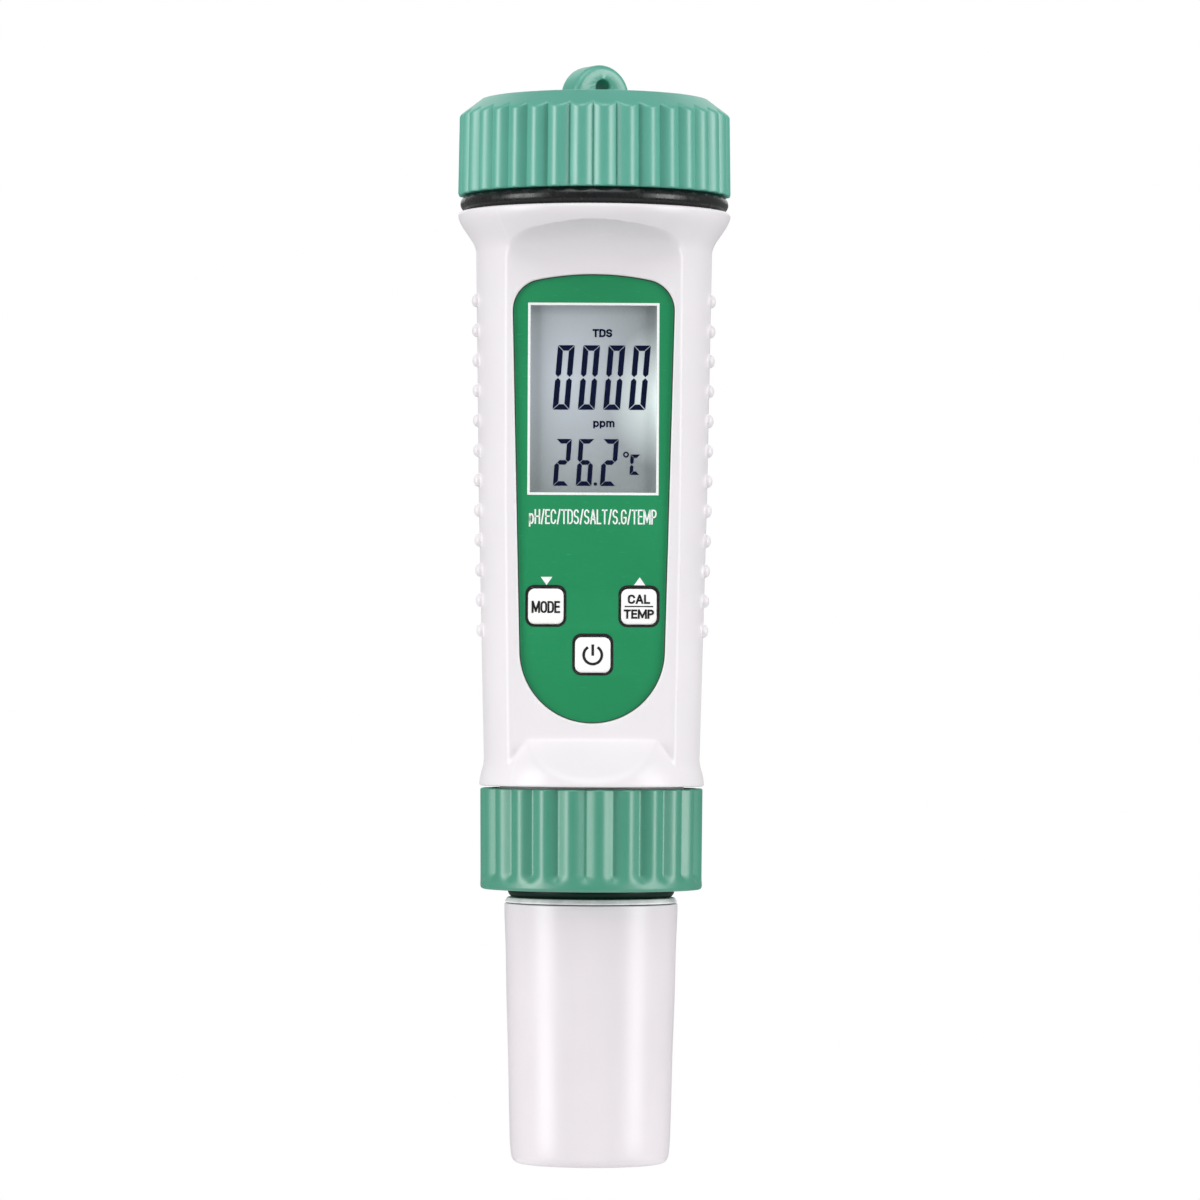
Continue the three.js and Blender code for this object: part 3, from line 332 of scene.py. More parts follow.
def ribbon(points, width, back, front):
    """A stroke of even width along (x, z) points, squared off half a width past each end."""
    line = np.array(points, float)
    steps = np.diff(line, axis=0)
    steps /= np.linalg.norm(steps, axis=1, keepdims=True)
    line[0] -= steps[0] * width / 2
    line[-1] += steps[-1] * width / 2
    ahead, behind = np.vstack([steps, steps[-1:]]), np.vstack([steps[:1], steps])
    across = np.stack([-(ahead + behind)[:, 1], (ahead + behind)[:, 0]], axis=1)
    across /= np.linalg.norm(across, axis=1, keepdims=True)
    square = np.stack([-ahead[:, 1], ahead[:, 0]], axis=1)
    across *= width / 2 / np.maximum((across * square).sum(axis=1), 0.5)[:, None]
    rows = []
    for middle, side in zip(line, across):
        left, right = middle - side, middle + side
        corners = ((left, back), (left, front), (right, front), (right, back))
        rows.append([(x, -height, z) for (x, z), height in corners])
    rows = [[np.mean(rows[0], axis=0)] * 4, *rows, [np.mean(rows[-1], axis=0)] * 4]
    return skin(np.array(rows))


def lettering(text, width, height, x, z, stroke, back, front):
    """Words in even strokes. width and height are those of its capitals, centred at x, z."""
    widths = [LETTERS[letter][0] for letter in text]
    across = (width - stroke) / (sum(widths) + LETTER_GAP * (len(text) - 1))
    up = height - stroke
    start = x - (width - stroke) / 2
    shapes = []
    for letter, letter_width in zip(text, widths):
        for points in LETTERS[letter][1]:
            placed = [(start + px * across, z + (pz - 0.5) * up) for px, pz in points]
            shapes.append(ribbon(placed, stroke, back, front))
        start += (letter_width + LETTER_GAP) * across
    return joined(*shapes)


def joined(*shapes):
    """Several shapes as one."""
    points, faces, offset = [], [], 0
    for shape_points, shape_faces in shapes:
        points.append(np.asarray(shape_points, float))
        faces += [[i + offset for i in face] for face in shape_faces]
        offset += len(shape_points)
    return np.concatenate(points), faces


FACE_FRAME = Matrix.Translation((0, -FACE_DEPTH_BOTTOM, FACE_BOTTOM)) @ Matrix.Rotation(FACE_TILT, 4, "X")


def on_face(shape):
    """Moves a shape from the flat front's own coordinates into the frame's."""
    matrix = np.array(FACE_FRAME)
    points, faces = shape
    return np.asarray(points) @ matrix[:3, :3].T + matrix[:3, 3], faces


# ---- pieces


def mesh_object(name, shape, crease=32):
    """An object in metres from a shape in millimetres, smooth but for bends of more than crease degrees."""
    points, faces = shape
    mesh = bpy.data.meshes.new(name)
    mesh.from_pydata((np.asarray(points) * MM).tolist(), [], faces)
    work = bmesh.new()
    work.from_mesh(mesh)
    bmesh.ops.remove_doubles(work, verts=work.verts, dist=2e-7)
    bmesh.ops.dissolve_degenerate(work, edges=work.edges, dist=1e-8)
    bmesh.ops.recalc_face_normals(work, faces=work.faces)
    work.to_mesh(mesh)
    work.free()
    smooth(mesh, crease)
    made = bpy.data.objects.new(name, mesh)
    bpy.context.scene.collection.objects.link(made)
    return made


def smooth(mesh, crease=32):
    mesh.shade_smooth()
    mesh.set_sharp_from_angle(angle=math.radians(crease))


def piece(name, shape, material, body, replaces=(), crease=32):
    """A finished piece of the tester that rides on a CAD body."""
    made = mesh_object(name, shape, crease)
    made.data.materials.append(material)
    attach(made, body)
    if replaces:
        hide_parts(*replaces)
    return made


def carve(target, *tools, crease=32):
    """Cuts shapes out of an object, one after another."""
    for tool in tools:
        cutter = mesh_object("cutter", tool)
        modifier = target.modifiers.new("cut", "BOOLEAN")
        modifier.operation, modifier.solver, modifier.object = "DIFFERENCE", "EXACT", cutter
        bpy.context.view_layer.update()
        evaluated = target.evaluated_get(bpy.context.evaluated_depsgraph_get())
        carved = bpy.data.meshes.new_from_object(evaluated)
        target.modifiers.clear()
        target.data = carved
        bpy.data.objects.remove(cutter)
    smooth(target.data, crease)
    return target


# ---- materials


class Nodes:
    """A material's node tree, with short ways to add and link nodes."""

    def __init__(self, name):
        self.material = bpy.data.materials.new(name)
        self.material.use_nodes = True
        self.tree = self.material.node_tree
        self.shader = self.tree.nodes["Principled BSDF"]
        self.output = self.tree.nodes["Material Output"]
        self.place = self.add("ShaderNodeTexCoord").outputs["Object"]

    def add(self, kind, **values):
        node = self.tree.nodes.new(kind)
        for key, value in values.items():
            setattr(node, key, value)
        return node

    def link(self, source, target):
        self.tree.links.new(source, target)

    def stretched(self, scale):
        """The place on the object, stretched by a factor along each axis."""
        node = self.add("ShaderNodeMapping")
        node.inputs["Scale"].default_value = scale
        self.link(self.place, node.inputs["Vector"])
        return node.outputs["Vector"]

    def noise(self, size_mm, detail=3.0, place=None):
        """Cloudy noise whose features are about size_mm across, from 0 to 1."""
        node = self.add("ShaderNodeTexNoise")
        node.inputs["Scale"].default_value = 1 / (size_mm * MM)
        node.inputs["Detail"].default_value = detail
        self.link(place or self.place, node.inputs["Vector"])
        return node.outputs["Fac"]

    def cells(self, size_mm, feature="F1"):
        """The distance to the middle or the edge of irregular cells about size_mm across."""
        node = self.add("ShaderNodeTexVoronoi", feature=feature)
        node.inputs["Scale"].default_value = 1 / (size_mm * MM)
        self.link(self.place, node.inputs["Vector"])
        return node.outputs["Distance"]

    def spread(self, value, low, high, from_low=0.3, from_high=0.7):
        """value mapped from one range to another, and held inside it."""
        node = self.add("ShaderNodeMapRange")
        settings = {"From Min": from_low, "From Max": from_high, "To Min": low, "To Max": high}
        for key, number in settings.items():
            node.inputs[key].default_value = number
        self.link(value, node.inputs["Value"])
        return node.outputs["Result"]

    def mix(self, share, first, second):
        """A colour between two others, which may be colours or sockets."""
        node = self.add("ShaderNodeMix", data_type="RGBA")
        self.link(share, node.inputs["Factor"])
        for key, side in ((6, first), (7, second)):
            if isinstance(side, bpy.types.NodeSocket):
                self.link(side, node.inputs[key])
            else:
                node.inputs[key].default_value = side
        return node.outputs[2]

    def total(self, a, b, share=1.0):
        """a plus b times share."""
        node = self.add("ShaderNodeMath", operation="MULTIPLY_ADD")
        self.link(b, node.inputs[0])
        node.inputs[1].default_value = share
        self.link(a, node.inputs[2])
        return node.outputs["Value"]

    def bump(self, height, strength, distance_mm):
        node = self.add("ShaderNodeBump")
        node.inputs["Strength"].default_value = strength
        node.inputs["Distance"].default_value = distance_mm * MM
        self.link(height, node.inputs["Height"])
        self.link(node.outputs["Normal"], self.shader.inputs["Normal"])

    def surface(self, base, roughness):
        self.link(base, self.shader.inputs["Base Color"])
        self.link(roughness, self.shader.inputs["Roughness"])

    def fixed(self, **values):
        """Sets the shader's own sockets, with _ for a space in their names."""
        for key, value in values.items():
            self.shader.inputs[key.replace("_", " ")].default_value = value


def colour(red, green, blue):
    """A linear colour from the usual 0 to 255 display values."""
    levels = [c / 255 for c in (red, green, blue)]
    return (*[c / 12.92 if c <= 0.04045 else ((c + 0.055) / 1.055) ** 2.4 for c in levels], 1.0)


def shade(tone, factor):
    return (*[min(1.0, c * factor) for c in tone[:3]], 1.0)


def moulded(name, tone, roughness, grain=0.12, depth=0.006, drift=0.05, specular=0.5, wear=0.25):
    """Moulded plastic: colour that drifts a little, a fine satin grain, and edges rubbed lighter."""
    n = Nodes(name)
    clouds = n.noise(14, 4)
    flow = n.noise(3.5, 3, n.stretched((1, 1, 0.25)))
    base = n.mix(n.spread(clouds, 0, 1), shade(tone, 1 - drift), shade(tone, 1 + drift))
    base = n.mix(n.spread(flow, 0, 0.35), base, shade(tone, 1 + drift))
    edge = n.spread(n.add("ShaderNodeNewGeometry").outputs["Pointiness"], 0, wear, 0.52, 0.62)
    base = n.mix(edge, base, shade(tone, 1.25))
    fine = n.noise(grain, 2)
    n.surface(base, n.total(n.spread(clouds, roughness - 0.03, roughness + 0.04), fine, 0.04))
    n.bump(n.total(fine, n.noise(1.8, 2), 1.5), 1.0, depth)
    n.fixed(Specular_IOR_Level=specular)
    return n.material


def printed(name, tone, roughness, specular=0.5):
    """Ink with slightly uneven cover."""
    n = Nodes(name)
    speckle = n.noise(0.25, 3)
    base = n.mix(n.spread(speckle, 0, 1), shade(tone, 0.93), shade(tone, 1.05))
    n.surface(base, n.spread(speckle, roughness - 0.05, roughness + 0.08))
    n.bump(speckle, 0.4, 0.004)
    n.fixed(Specular_IOR_Level=specular)
    return n.material


def rubber(name, tone, roughness):
    """Moulded rubber with dust, faint flow marks and a skin that isn't quite even."""
    n = Nodes(name)
    clouds, dust = n.noise(5, 4), n.noise(0.5, 4)
    base = n.mix(n.spread(clouds, 0, 1), shade(tone, 0.75), shade(tone, 1.5))
    base = n.mix(n.spread(dust, 0, 0.25, 0.62, 0.8), base, colour(120, 122, 124))
    n.surface(base, n.spread(n.noise(1.2), roughness - 0.1, roughness + 0.12))
    n.bump(n.total(n.noise(0.3, 3), clouds, 1.5), 0.8, 0.015)
    return n.material


def metal(name, tone, roughness, along=(1, 1, 12)):
    """Turned or rolled metal with fine lines and a little tarnish."""
    n = Nodes(name)
    lines, stain = n.noise(1.0, 4, n.stretched(along)), n.noise(3, 4)
    base = n.mix(n.spread(stain, 0, 1), shade(tone, 0.8), shade(tone, 1.08))
    n.surface(base, n.spread(lines, roughness - 0.08, roughness + 0.12))
    n.bump(lines, 0.5, 0.004)
    n.fixed(Metallic=1.0)
    return n.material


def label_film():
    """Green film printed on the back, with small scuffs, flecks and scratches in its satin surface."""
    n = Nodes("label_film")
    tone = colour(*LABEL_TONE)
    clouds, fleck = n.noise(18, 4), n.noise(0.8, 3)
    base = n.mix(n.spread(clouds, 0, 1), shade(tone, 0.93), shade(tone, 1.06))
    base = n.mix(n.spread(fleck, 0, 0.35, 0.7, 0.82), base, shade(tone, 1.5))
    scuff = n.noise(2.2, 3, n.stretched((1.0, 1, 6)))
    base = n.mix(n.spread(scuff, 0, 0.18, 0.6, 0.75), base, shade(tone, 1.5))
    scratch = n.noise(1.1, 2, n.stretched((0.5, 1, 5)))
    base = n.mix(n.spread(scratch, 0, 0.3, 0.68, 0.76), base, shade(tone, 2.2))
    n.surface(base, n.spread(n.noise(0.35, 3), 0.36, 0.5))
    n.bump(n.total(n.noise(0.18, 2), clouds, 2.0), 0.6, 0.006)
    return n.material


def clear_sheet(name, tint, roughness, strength):
    """A clear sheet: it lets what is behind it show, and reflects more at a slant."""
    n = Nodes(name)
    base = n.mix(n.noise(6, 3), shade(tint, 0.03), shade(tint, 0.05))
    n.surface(base, n.spread(n.noise(4, 4), roughness, roughness + 0.06))
    n.bump(n.noise(8, 2), 0.3, 0.01)
    clear = n.add("ShaderNodeBsdfTransparent")
    clear.inputs["Color"].default_value = tint
    gloss = n.add("ShaderNodeLayerWeight")
    both = n.add("ShaderNodeMixShader")
    n.link(n.spread(gloss.outputs["Facing"], strength, strength + 0.3, 0.5, 1), both.inputs["Fac"])
    n.link(clear.outputs["BSDF"], both.inputs[1])
    n.link(n.shader.outputs["BSDF"], both.inputs[2])
    n.link(both.outputs["Shader"], n.output.inputs["Surface"])
    return n.material


def display_film():
    """A reflective display's grey field, with a painted glare at its right that also glows, painted shade
    darkening it towards its edges and corners, and an upright grain.
    """
    n = Nodes("display_film")
    shaded_edges, plain, pale = [colour(*tone) for tone in (DISPLAY_SHADED_EDGES, DISPLAY_TONE, DISPLAY_PALE)]

    def nearness(x, z, across, up):
        place = n.add("ShaderNodeVectorMath", operation="DISTANCE")
        n.link(n.stretched((1 / across / MM, 0, 1 / up / MM)), place.inputs[0])
        place.inputs[1].default_value = (x / across, 0, z / up)
        return n.spread(place.outputs["Value"], 1, 0, 0, 1)

    # painted shade: the field is brightest left of the middle and darkens towards its edges and corners
    base = n.mix(nearness(-4, 128, 15, 19), shaded_edges, plain)
    # painted glare: a pale patch at the right of the field
    painted_glare = nearness(11, 125, 8.5, 12)
    base = n.mix(painted_glare, base, pale)
    # the painted glare also glows, as if the display were lit from behind
    n.link(n.spread(painted_glare, 0, 0.55, 0, 1), n.shader.inputs["Emission Strength"])
    grain = n.noise(0.12, 2, n.stretched((1, 1, 0.2)))
    base = n.mix(n.spread(grain, 0, 0.1), base, pale)
    n.surface(base, n.spread(n.noise(5), 0.3, 0.42))
    n.bump(grain, 0.2, 0.003)
    n.fixed(Emission_Color=pale)
    return n.material


def circuit_board_material():
    """Green solder mask over copper traces, with tinned pads."""
    n = Nodes("circuit_board")
    mask, trace = colour(22, 84, 52), colour(40, 122, 74)
    lines = n.spread(n.cells(2.4, "DISTANCE_TO_EDGE"), 1, 0, 0.05, 0.09)
    pads = n.spread(n.cells(3.1), 1, 0, 0.1, 0.13)
    base = n.mix(lines, mask, trace)
    base = n.mix(pads, base, colour(205, 205, 200))
    n.surface(base, n.spread(n.noise(1.5), 0.25, 0.42))
    n.bump(n.total(lines, pads), 0.7, 0.03)
    return n.material


def sponge_material():
    """Open-cell foam kept damp for the electrode."""
    n = Nodes("sponge")
    pores = n.cells(0.7)
    base = n.mix(n.spread(pores, 0, 1, 0.1, 0.5), colour(150, 125, 60), colour(226, 205, 120))
    n.surface(base, n.spread(n.noise(1.5), 0.75, 0.95))
    n.bump(pores, 1.0, 0.25)
    return n.material


def glass_material():
    """Electrode glass, with light passing straight through to the wire inside."""
    n = Nodes("electrode_glass")
    tint = colour(236, 244, 242)
    n.surface(n.mix(n.noise(3, 2), shade(tint, 0.98), tint), n.spread(n.noise(2, 3), 0.02, 0.06))
    n.bump(n.noise(4, 2), 0.3, 0.02)
    n.fixed(Transmission_Weight=1.0, IOR=1.47)
    return n.material


SHELL_TONE = (236, 232, 235)
STORAGE_TONE = (228, 222, 226)
CAP_TONE = (86, 168, 148)
COLLAR_TONE = (64, 145, 120)
PROBE_TONE = (5, 36, 27)
LABEL_TONE = (22, 138, 86)
# The display's colours: painted shade at its edges, its plain field, and the pale of its painted glare and
# grain
DISPLAY_SHADED_EDGES = (170, 175, 178)
DISPLAY_TONE = (232, 237, 247)
DISPLAY_PALE = (236, 244, 244)

shell_plastic = moulded("shell_plastic", colour(*SHELL_TONE), 0.34, wear=0.1, drift=0.015)
storage_plastic = moulded("storage_plastic", colour(*STORAGE_TONE), 0.3, wear=0.1, drift=0.015)
cap_plastic = moulded("cap_plastic", colour(*CAP_TONE), 0.38, grain=0.15, depth=0.012, specular=1.0)
collar_plastic = moulded("collar_plastic", colour(*COLLAR_TONE), 0.38, grain=0.15, depth=0.012, specular=1.0)
probe_plastic = moulded("probe_plastic", colour(*PROBE_TONE), 0.42, specular=0.2)
key_plastic = moulded("key_plastic", colour(254, 254, 252), 0.4, wear=0.1, drift=0.01)
black_plastic = moulded("black_plastic", colour(34, 36, 38), 0.5, drift=0.15)
white_ink = printed("white_ink", colour(246, 248, 247), 0.45)
black_ink = printed("black_ink", colour(10, 10, 12), 0.6)
# dark ink for the painted shadow along the label's top and sides
painted_edge_shadow = printed("painted_edge_shadow", colour(52, 62, 54), 0.6)
display_ink = printed("display_ink", colour(6, 18, 56), 0.55, specular=0.1)
black_rubber = rubber("black_rubber", colour(15, 16, 17), 0.3)
grey_silicone = rubber("grey_silicone", colour(226, 224, 230), 0.5)
steel = metal("steel", colour(198, 200, 204), 0.26)
nickel = metal("nickel", colour(206, 202, 190), 0.24, (12, 1, 1))
gold = metal("gold_contact", colour(214, 176, 96), 0.25, (12, 1, 1))
ceramic = moulded("ceramic", colour(232, 228, 216), 0.6, drift=0.04)
window_sheet = clear_sheet("window_sheet", colour(250, 251, 251), 0.08, 0.03)
guide_sheet = clear_sheet("guide_sheet", colour(225, 232, 232), 0.2, 0.25)
film = label_film()
display = display_film()
board = circuit_board_material()
sponge = sponge_material()
glass = glass_material()


# ---- housing


def grip_radius(z):
    flare = FLARE_GROWTH * smooth_step((z - FLARE_START) / (RIM_TOP - 0.3 - FLARE_START))
    return np.interp(z, GRIP_HEIGHTS, GRIP_RADII) + flare


def face_depth(z, across=0.0):
    """From the axis to the flat front, or to the cove that ends it.

    The cove starts higher and is tighter towards the sides.
    """
    flat = FACE_DEPTH_BOTTOM + (z - FACE_BOTTOM) * math.tan(FACE_TILT)
    radius = COVE_RADIUS - COVE_TIGHTENING * (np.sqrt(across**2 + 4) - 2)
    rise = np.maximum(z - FACE_TOP - COVE_SAG * across**2, 0)
    cove = radius - np.sqrt(np.maximum(radius**2 - rise**2, 0))
    return np.where(rise < radius, flat + cove, BEYOND)


def outer_radius(angles, z):
    """How far the housing's outside is from the axis, at a height and each angle from the front."""
    facing = np.maximum(np.cos(angles), 0.05)
    across = np.minimum(face_depth(min(z, FACE_TOP)) * np.tan(np.minimum(np.abs(angles), 1.0)), COVE_REACH)
    body = blend_low(np.full_like(angles, grip_radius(z)), face_depth(z, across) / facing, EDGE_BLEND)
    rise = FACE_BOTTOM - z
    cone = blend_low(FOOT_RADIUS, FOOT_CONE_RADIUS + rise * FOOT_CONE_SLOPE, 1.2)
    foot = blend_low(np.full_like(angles, cone), (FACE_DEPTH_BOTTOM + rise) / facing, EDGE_BLEND)
    radius = blend_high(body, foot, 0.5) if rise > -4 else body
    from_parting = (np.abs(angles) - PARTING_ANGLE) / PARTING_GROOVE["half_width"]
    groove = PARTING_GROOVE["depth"] * np.exp(-(from_parting**2))
    return radius - (groove if HOUSING_BOTTOM + 3 < z < RIM_TOP - 1 else 0)


def shell_angles():
    """Angles from the front, closest where the flat front ends and along the parting line."""
    spans = ((0, 34, 2), (34, 42, 1), (42, 56, 0.45), (56, 79.4, 1.6), (79.4, 82.6, 0.2), (82.6, 180, 1.9))
    half = np.concatenate([np.arange(start, end - step / 2, step) for start, end, step in spans])
    return np.radians(np.concatenate([[-180], -half[:0:-1], half]))


def shell():
    angles = shell_angles()
    spans = ((0.3, 8, 0.2), (8, 11, 0.5), (11, 81.3, 2.2), (81.3, 86, 0.45), (86, 93.4, 0.12))
    heights = HOUSING_BOTTOM + np.concatenate([np.arange(a, b - c / 2, c) for a, b, c in spans])
    foot = outer_radius(angles, HOUSING_BOTTOM + 0.3)
    path = [(foot - 0.3, HOUSING_BOTTOM), (foot - 0.09, HOUSING_BOTTOM + 0.09)]
    path += [(outer_radius(angles, z), z) for z in heights]
    rim = outer_radius(angles, RIM_TOP - 0.5)
    for turn in np.linspace(0, math.pi / 2, 6):
        path.append((rim - 0.5 + 0.5 * np.cos(turn), RIM_TOP - 0.5 + 0.5 * math.sin(turn)))
    neck = [
        (CAP_BORE, RIM_TOP, 0.2),
        (NECK_RADIUS + THREAD_HEIGHT, RIM_TOP, 0.2),
        (NECK_RADIUS + THREAD_HEIGHT, CAP_BOTTOM + 0.3, 0.3),
        (NECK_RADIUS, CAP_BOTTOM + 1, 0.3),
        (NECK_RADIUS, NECK_TOP, 0.5),
        (NECK_BORE, NECK_TOP, 0.4),
        (NECK_BORE, 152.3, 0),
    ]
    path += soften(neck)[1:]
    for z in np.linspace(148.5, FACE_BOTTOM - 5, 24):
        facing = np.maximum(np.cos(angles), 0.05)
        front = (face_depth(min(z, FACE_TOP)) - FRONT_WALL) / facing
        path.append((np.minimum(grip_radius(min(z, 148)) - WALL, front), z))
    spigot = [
        (SPIGOT_BORE, FACE_BOTTOM - 5.4, 0),
        (SPIGOT_BORE, SPIGOT_BOTTOM, 0.4),
        (SPIGOT_RADIUS, SPIGOT_BOTTOM, 0.5),
        (SPIGOT_RADIUS, HOUSING_BOTTOM, 0.2),
        (SPIGOT_RADIUS + 1, HOUSING_BOTTOM, 0),
    ]
    return skin(rings(path + soften(spigot), angles), closed=True)


def recess():
    """The label's sunk bed, with a softly rounded edge."""
    gap, rounding = 0.06, 0.3
    layers = [(label_outline(gap), LABEL_BACK - 0.02), (label_outline(gap), -rounding)]
    for turn in np.linspace(0.2, 1, 5) * math.pi / 2:
        grow = gap + rounding * (1 - math.cos(turn))
        layers.append((label_outline(grow), -rounding + rounding * math.sin(turn)))
    layers.append((label_outline(gap + rounding), 3.0))
    return on_face(stacked(layers))


def key_hole(x, z):
    return rounded_box(KEY_HOLE, KEY_HOLE, KEY_CORNER + 0.3, x, z)


def face_holes():
    outlines = [rounded_box(WINDOW_WIDTH, WINDOW_HEIGHT, 0.3, 0, WINDOW_Z)]
    outlines += [key_hole(x, z) for x, z in KEYS.values()]
    return on_face(joined(*[stacked([(outline, -5), (outline, 1)]) for outline in outlines]))


def grip_bumps():
    """Two rows of round pips along the parting line, each with a soft fillet at its foot."""
    profile = [(1.4, -0.12), (1.25, -0.03), (1.15, 0.1), (1.1, 0.22)]
    profile += [(1.08 * math.cos(t), 0.26 + 0.74 * math.sin(t)) for t in np.linspace(0.1, 1, 8) * math.pi / 2]
    shapes = []
    for side in (-1, 1):
        outwards = Vector((side * math.sin(PARTING_ANGLE), -math.cos(PARTING_ANGLE), 0))
        turn = np.array(outwards.to_track_quat("Z", "Y").to_matrix())
        for i in range(BUMPS["count"]):
            z = BUMPS["low"] + i * BUMPS["spacing"]
            points, faces = turned([*profile, (0, 1.0)], 24)
            centre = np.array(outwards) * float(grip_radius(z))
            shapes.append((points @ turn.T + centre + np.array((0, 0, z)), faces))
    return joined(*shapes)


def board_rails():
    """The ribs inside the housing that hold the circuit board and its carrier."""
    shapes = []
    for side in (-1, 1):
        left, right = side * RAIL["x"] - RAIL["half_width"], side * RAIL["x"] + RAIL["half_width"]
        for near, far in RAIL_DEPTHS:
            shapes.append(bar(left, right, near, far, RAIL["low"], RAIL["high"]))
    return on_face(joined(*shapes))


def build_housing():
    made = piece("housing_shell", shell(), shell_plastic, "housing", ["body_shell"])
    carve(made, recess(), face_holes())
    piece("grip_bumps", grip_bumps(), shell_plastic, "housing")
    ridges = joined(
        thread(CAP_THREAD, NECK_RADIUS, NECK_RADIUS + THREAD_HEIGHT, CAP_THREAD_START),
        thread(COLLAR_THREAD, SPIGOT_RADIUS, SPIGOT_RADIUS + THREAD_HEIGHT, COLLAR_THREAD_START),
    )
    piece("housing_threads", ridges, shell_plastic, "housing")
    piece("board_rails", board_rails(), shell_plastic, "housing")


# ---- front


def label():
    outlines = [label_outline(-0.12), rounded_box(WINDOW_WIDTH, WINDOW_HEIGHT, 0.1, 0, WINDOW_Z)]
    outlines += [key_hole(x, z) for x, z in KEYS.values()]
    return on_face(plate(outlines, LABEL_BACK, LABEL_FRONT, 0.04))


def label_edge_shadow():
    """A dark ring round the film, set a little higher so it shows along its top and sides: painted shadow
    where the recess's edge shades the film.
    """
    inner = label_outline(-0.17)
    # raised so the painted shadow shows along the top and sides and not at the foot
    outer = [(x, z + 0.04) for x, z in label_outline(0.03)]
    return on_face(plate([outer, inner], LABEL_BACK, LABEL_FRONT - 0.03))


def label_print():
    """The white line round the window, the row of what it measures, and the arrows over two keys."""
    low, high = LABEL_FRONT - 0.01, LABEL_FRONT + 0.015
    width, height = WINDOW_WIDTH + 0.04, WINDOW_HEIGHT + 0.04
    border = [
        rounded_box(width + 2 * FRAME_LINE, height + 2 * FRAME_LINE, 0.05, 0, WINDOW_Z),
        rounded_box(width, height, 0.05, 0, WINDOW_Z),
    ]
    shapes = [plate(border, low, high)]
    shapes.append(lettering("pH/EC/TDS/SALT/S.G/TEMP", 20.7, 2.4, 0, 36.05, 0.24, low, high))
    for name, tip in (("mode", -1), ("cal", 1)):
        x, z = KEYS[name][0] + 0.1, 25.62
        arrow = [(x - 0.95, z - tip * 0.67), (x + 0.95, z - tip * 0.67), (x, z + tip * 0.67)]
        shapes.append(plate([arrow[::tip]], low, high))
    return on_face(joined(*shapes))


def digit(lit, x, z, width, height, stroke, gap=0.17, lean=0.081):
    """A seven-segment digit. lit names its segments, and x, z is its lower left corner."""
    half, mid, m = stroke / 2, height / 2, gap / 2
    near, far, top = stroke + m, width - stroke - m, height - stroke
    low, high = mid - half - m, mid + half + m
    segments = {
        "lower": [(0, m), (stroke, near), (stroke, low), (half, mid - m), (0, low)],
        "upper": [(0, high), (half, mid + m), (stroke, high), (stroke, top - m), (0, height - m)],
        "bottom": [(m, 0), (width - m, 0), (far, stroke), (near, stroke)],
        "top": [(m, height), (near, top), (far, top), (width - m, height)],
        "middle": [(half + m, mid), (near, mid - half), (far, mid - half), (width - half - m, mid)],
    }
    segments["middle"] += [(far, mid + half), (near, mid + half)]
    shapes = []
    for name in lit:
        where, _, hand = name.partition("_")
        points = segments[where]
        if hand == "right":
            points = [(width - px, pz) for px, pz in points][::-1]
        shapes.append([(x + px + lean * pz, z + pz) for px, pz in points])
    return shapes


def key_frames():
    """The black edge of each key's opening, with painted shadow making it a little heavier along its top."""
    shapes = []
    for x, z in KEYS.values():
        hole = rounded_box(KEY_HOLE - 0.1, KEY_HOLE - 0.1, KEY_CORNER + 0.25, x, z)
        # shifted up and taller: painted shadow under the top edge of the opening
        outside = rounded_box(KEY_HOLE + 0.25, KEY_HOLE + 0.4, KEY_CORNER + 0.35, x, z + 0.08)
        shapes.append(plate([outside, hole], LABEL_FRONT - 1.2, LABEL_FRONT + 0.02))
    return on_face(joined(*shapes))


def readout():
    """What the display shows: four large digits over a smaller temperature."""
    low, high = LCD_FRONT, LCD_FRONT + 0.03
    zero = ["top", "bottom", "lower_left", "upper_left", "lower_right", "upper_right"]
    two = ["top", "upper_right", "middle", "lower_left", "bottom"]
    six = ["top", "upper_left", "middle", "lower_left", "lower_right", "bottom"]
    letter_c = ["top", "upper_left", "lower_left", "bottom"]
    outlines = []
    for i in range(4):
        outlines += digit(zero, -6.62 + 4.11 * i, WINDOW_Z - 1.73, 2.72, 10.46, 0.88)
    for lit, x in ((two, -6.5), (six, -2.79), (two, 1.12)):
        outlines += digit(lit, x, WINDOW_Z - 14.08, 2.52, 7.6, 0.74, 0.15, 0.068)
    outlines += digit(letter_c, 5.93, WINDOW_Z - 12.25, 1.6, 3.3, 0.55, 0.1, 0.05)
    point = arc(0.39, WINDOW_Z - 13.77, 0.27, 0, 344, steps=15)
    degree = [arc(5.34, WINDOW_Z - 8.98, radius, 0, 350, steps=23) for radius in (0.48, 0.24)]
    shapes = [plate([outline], low, high) for outline in [*outlines, point]]
    shapes.append(plate(degree, low, high))
    shapes.append(lettering("TDS", 3.2, 1.32, 1.41, WINDOW_Z + 10.71, 0.3, low, high))
    shapes.append(lettering("ppm", 3.45, 1.35, 1.72, WINDOW_Z - 3.87, 0.27, low, high))
    return on_face(joined(*shapes))


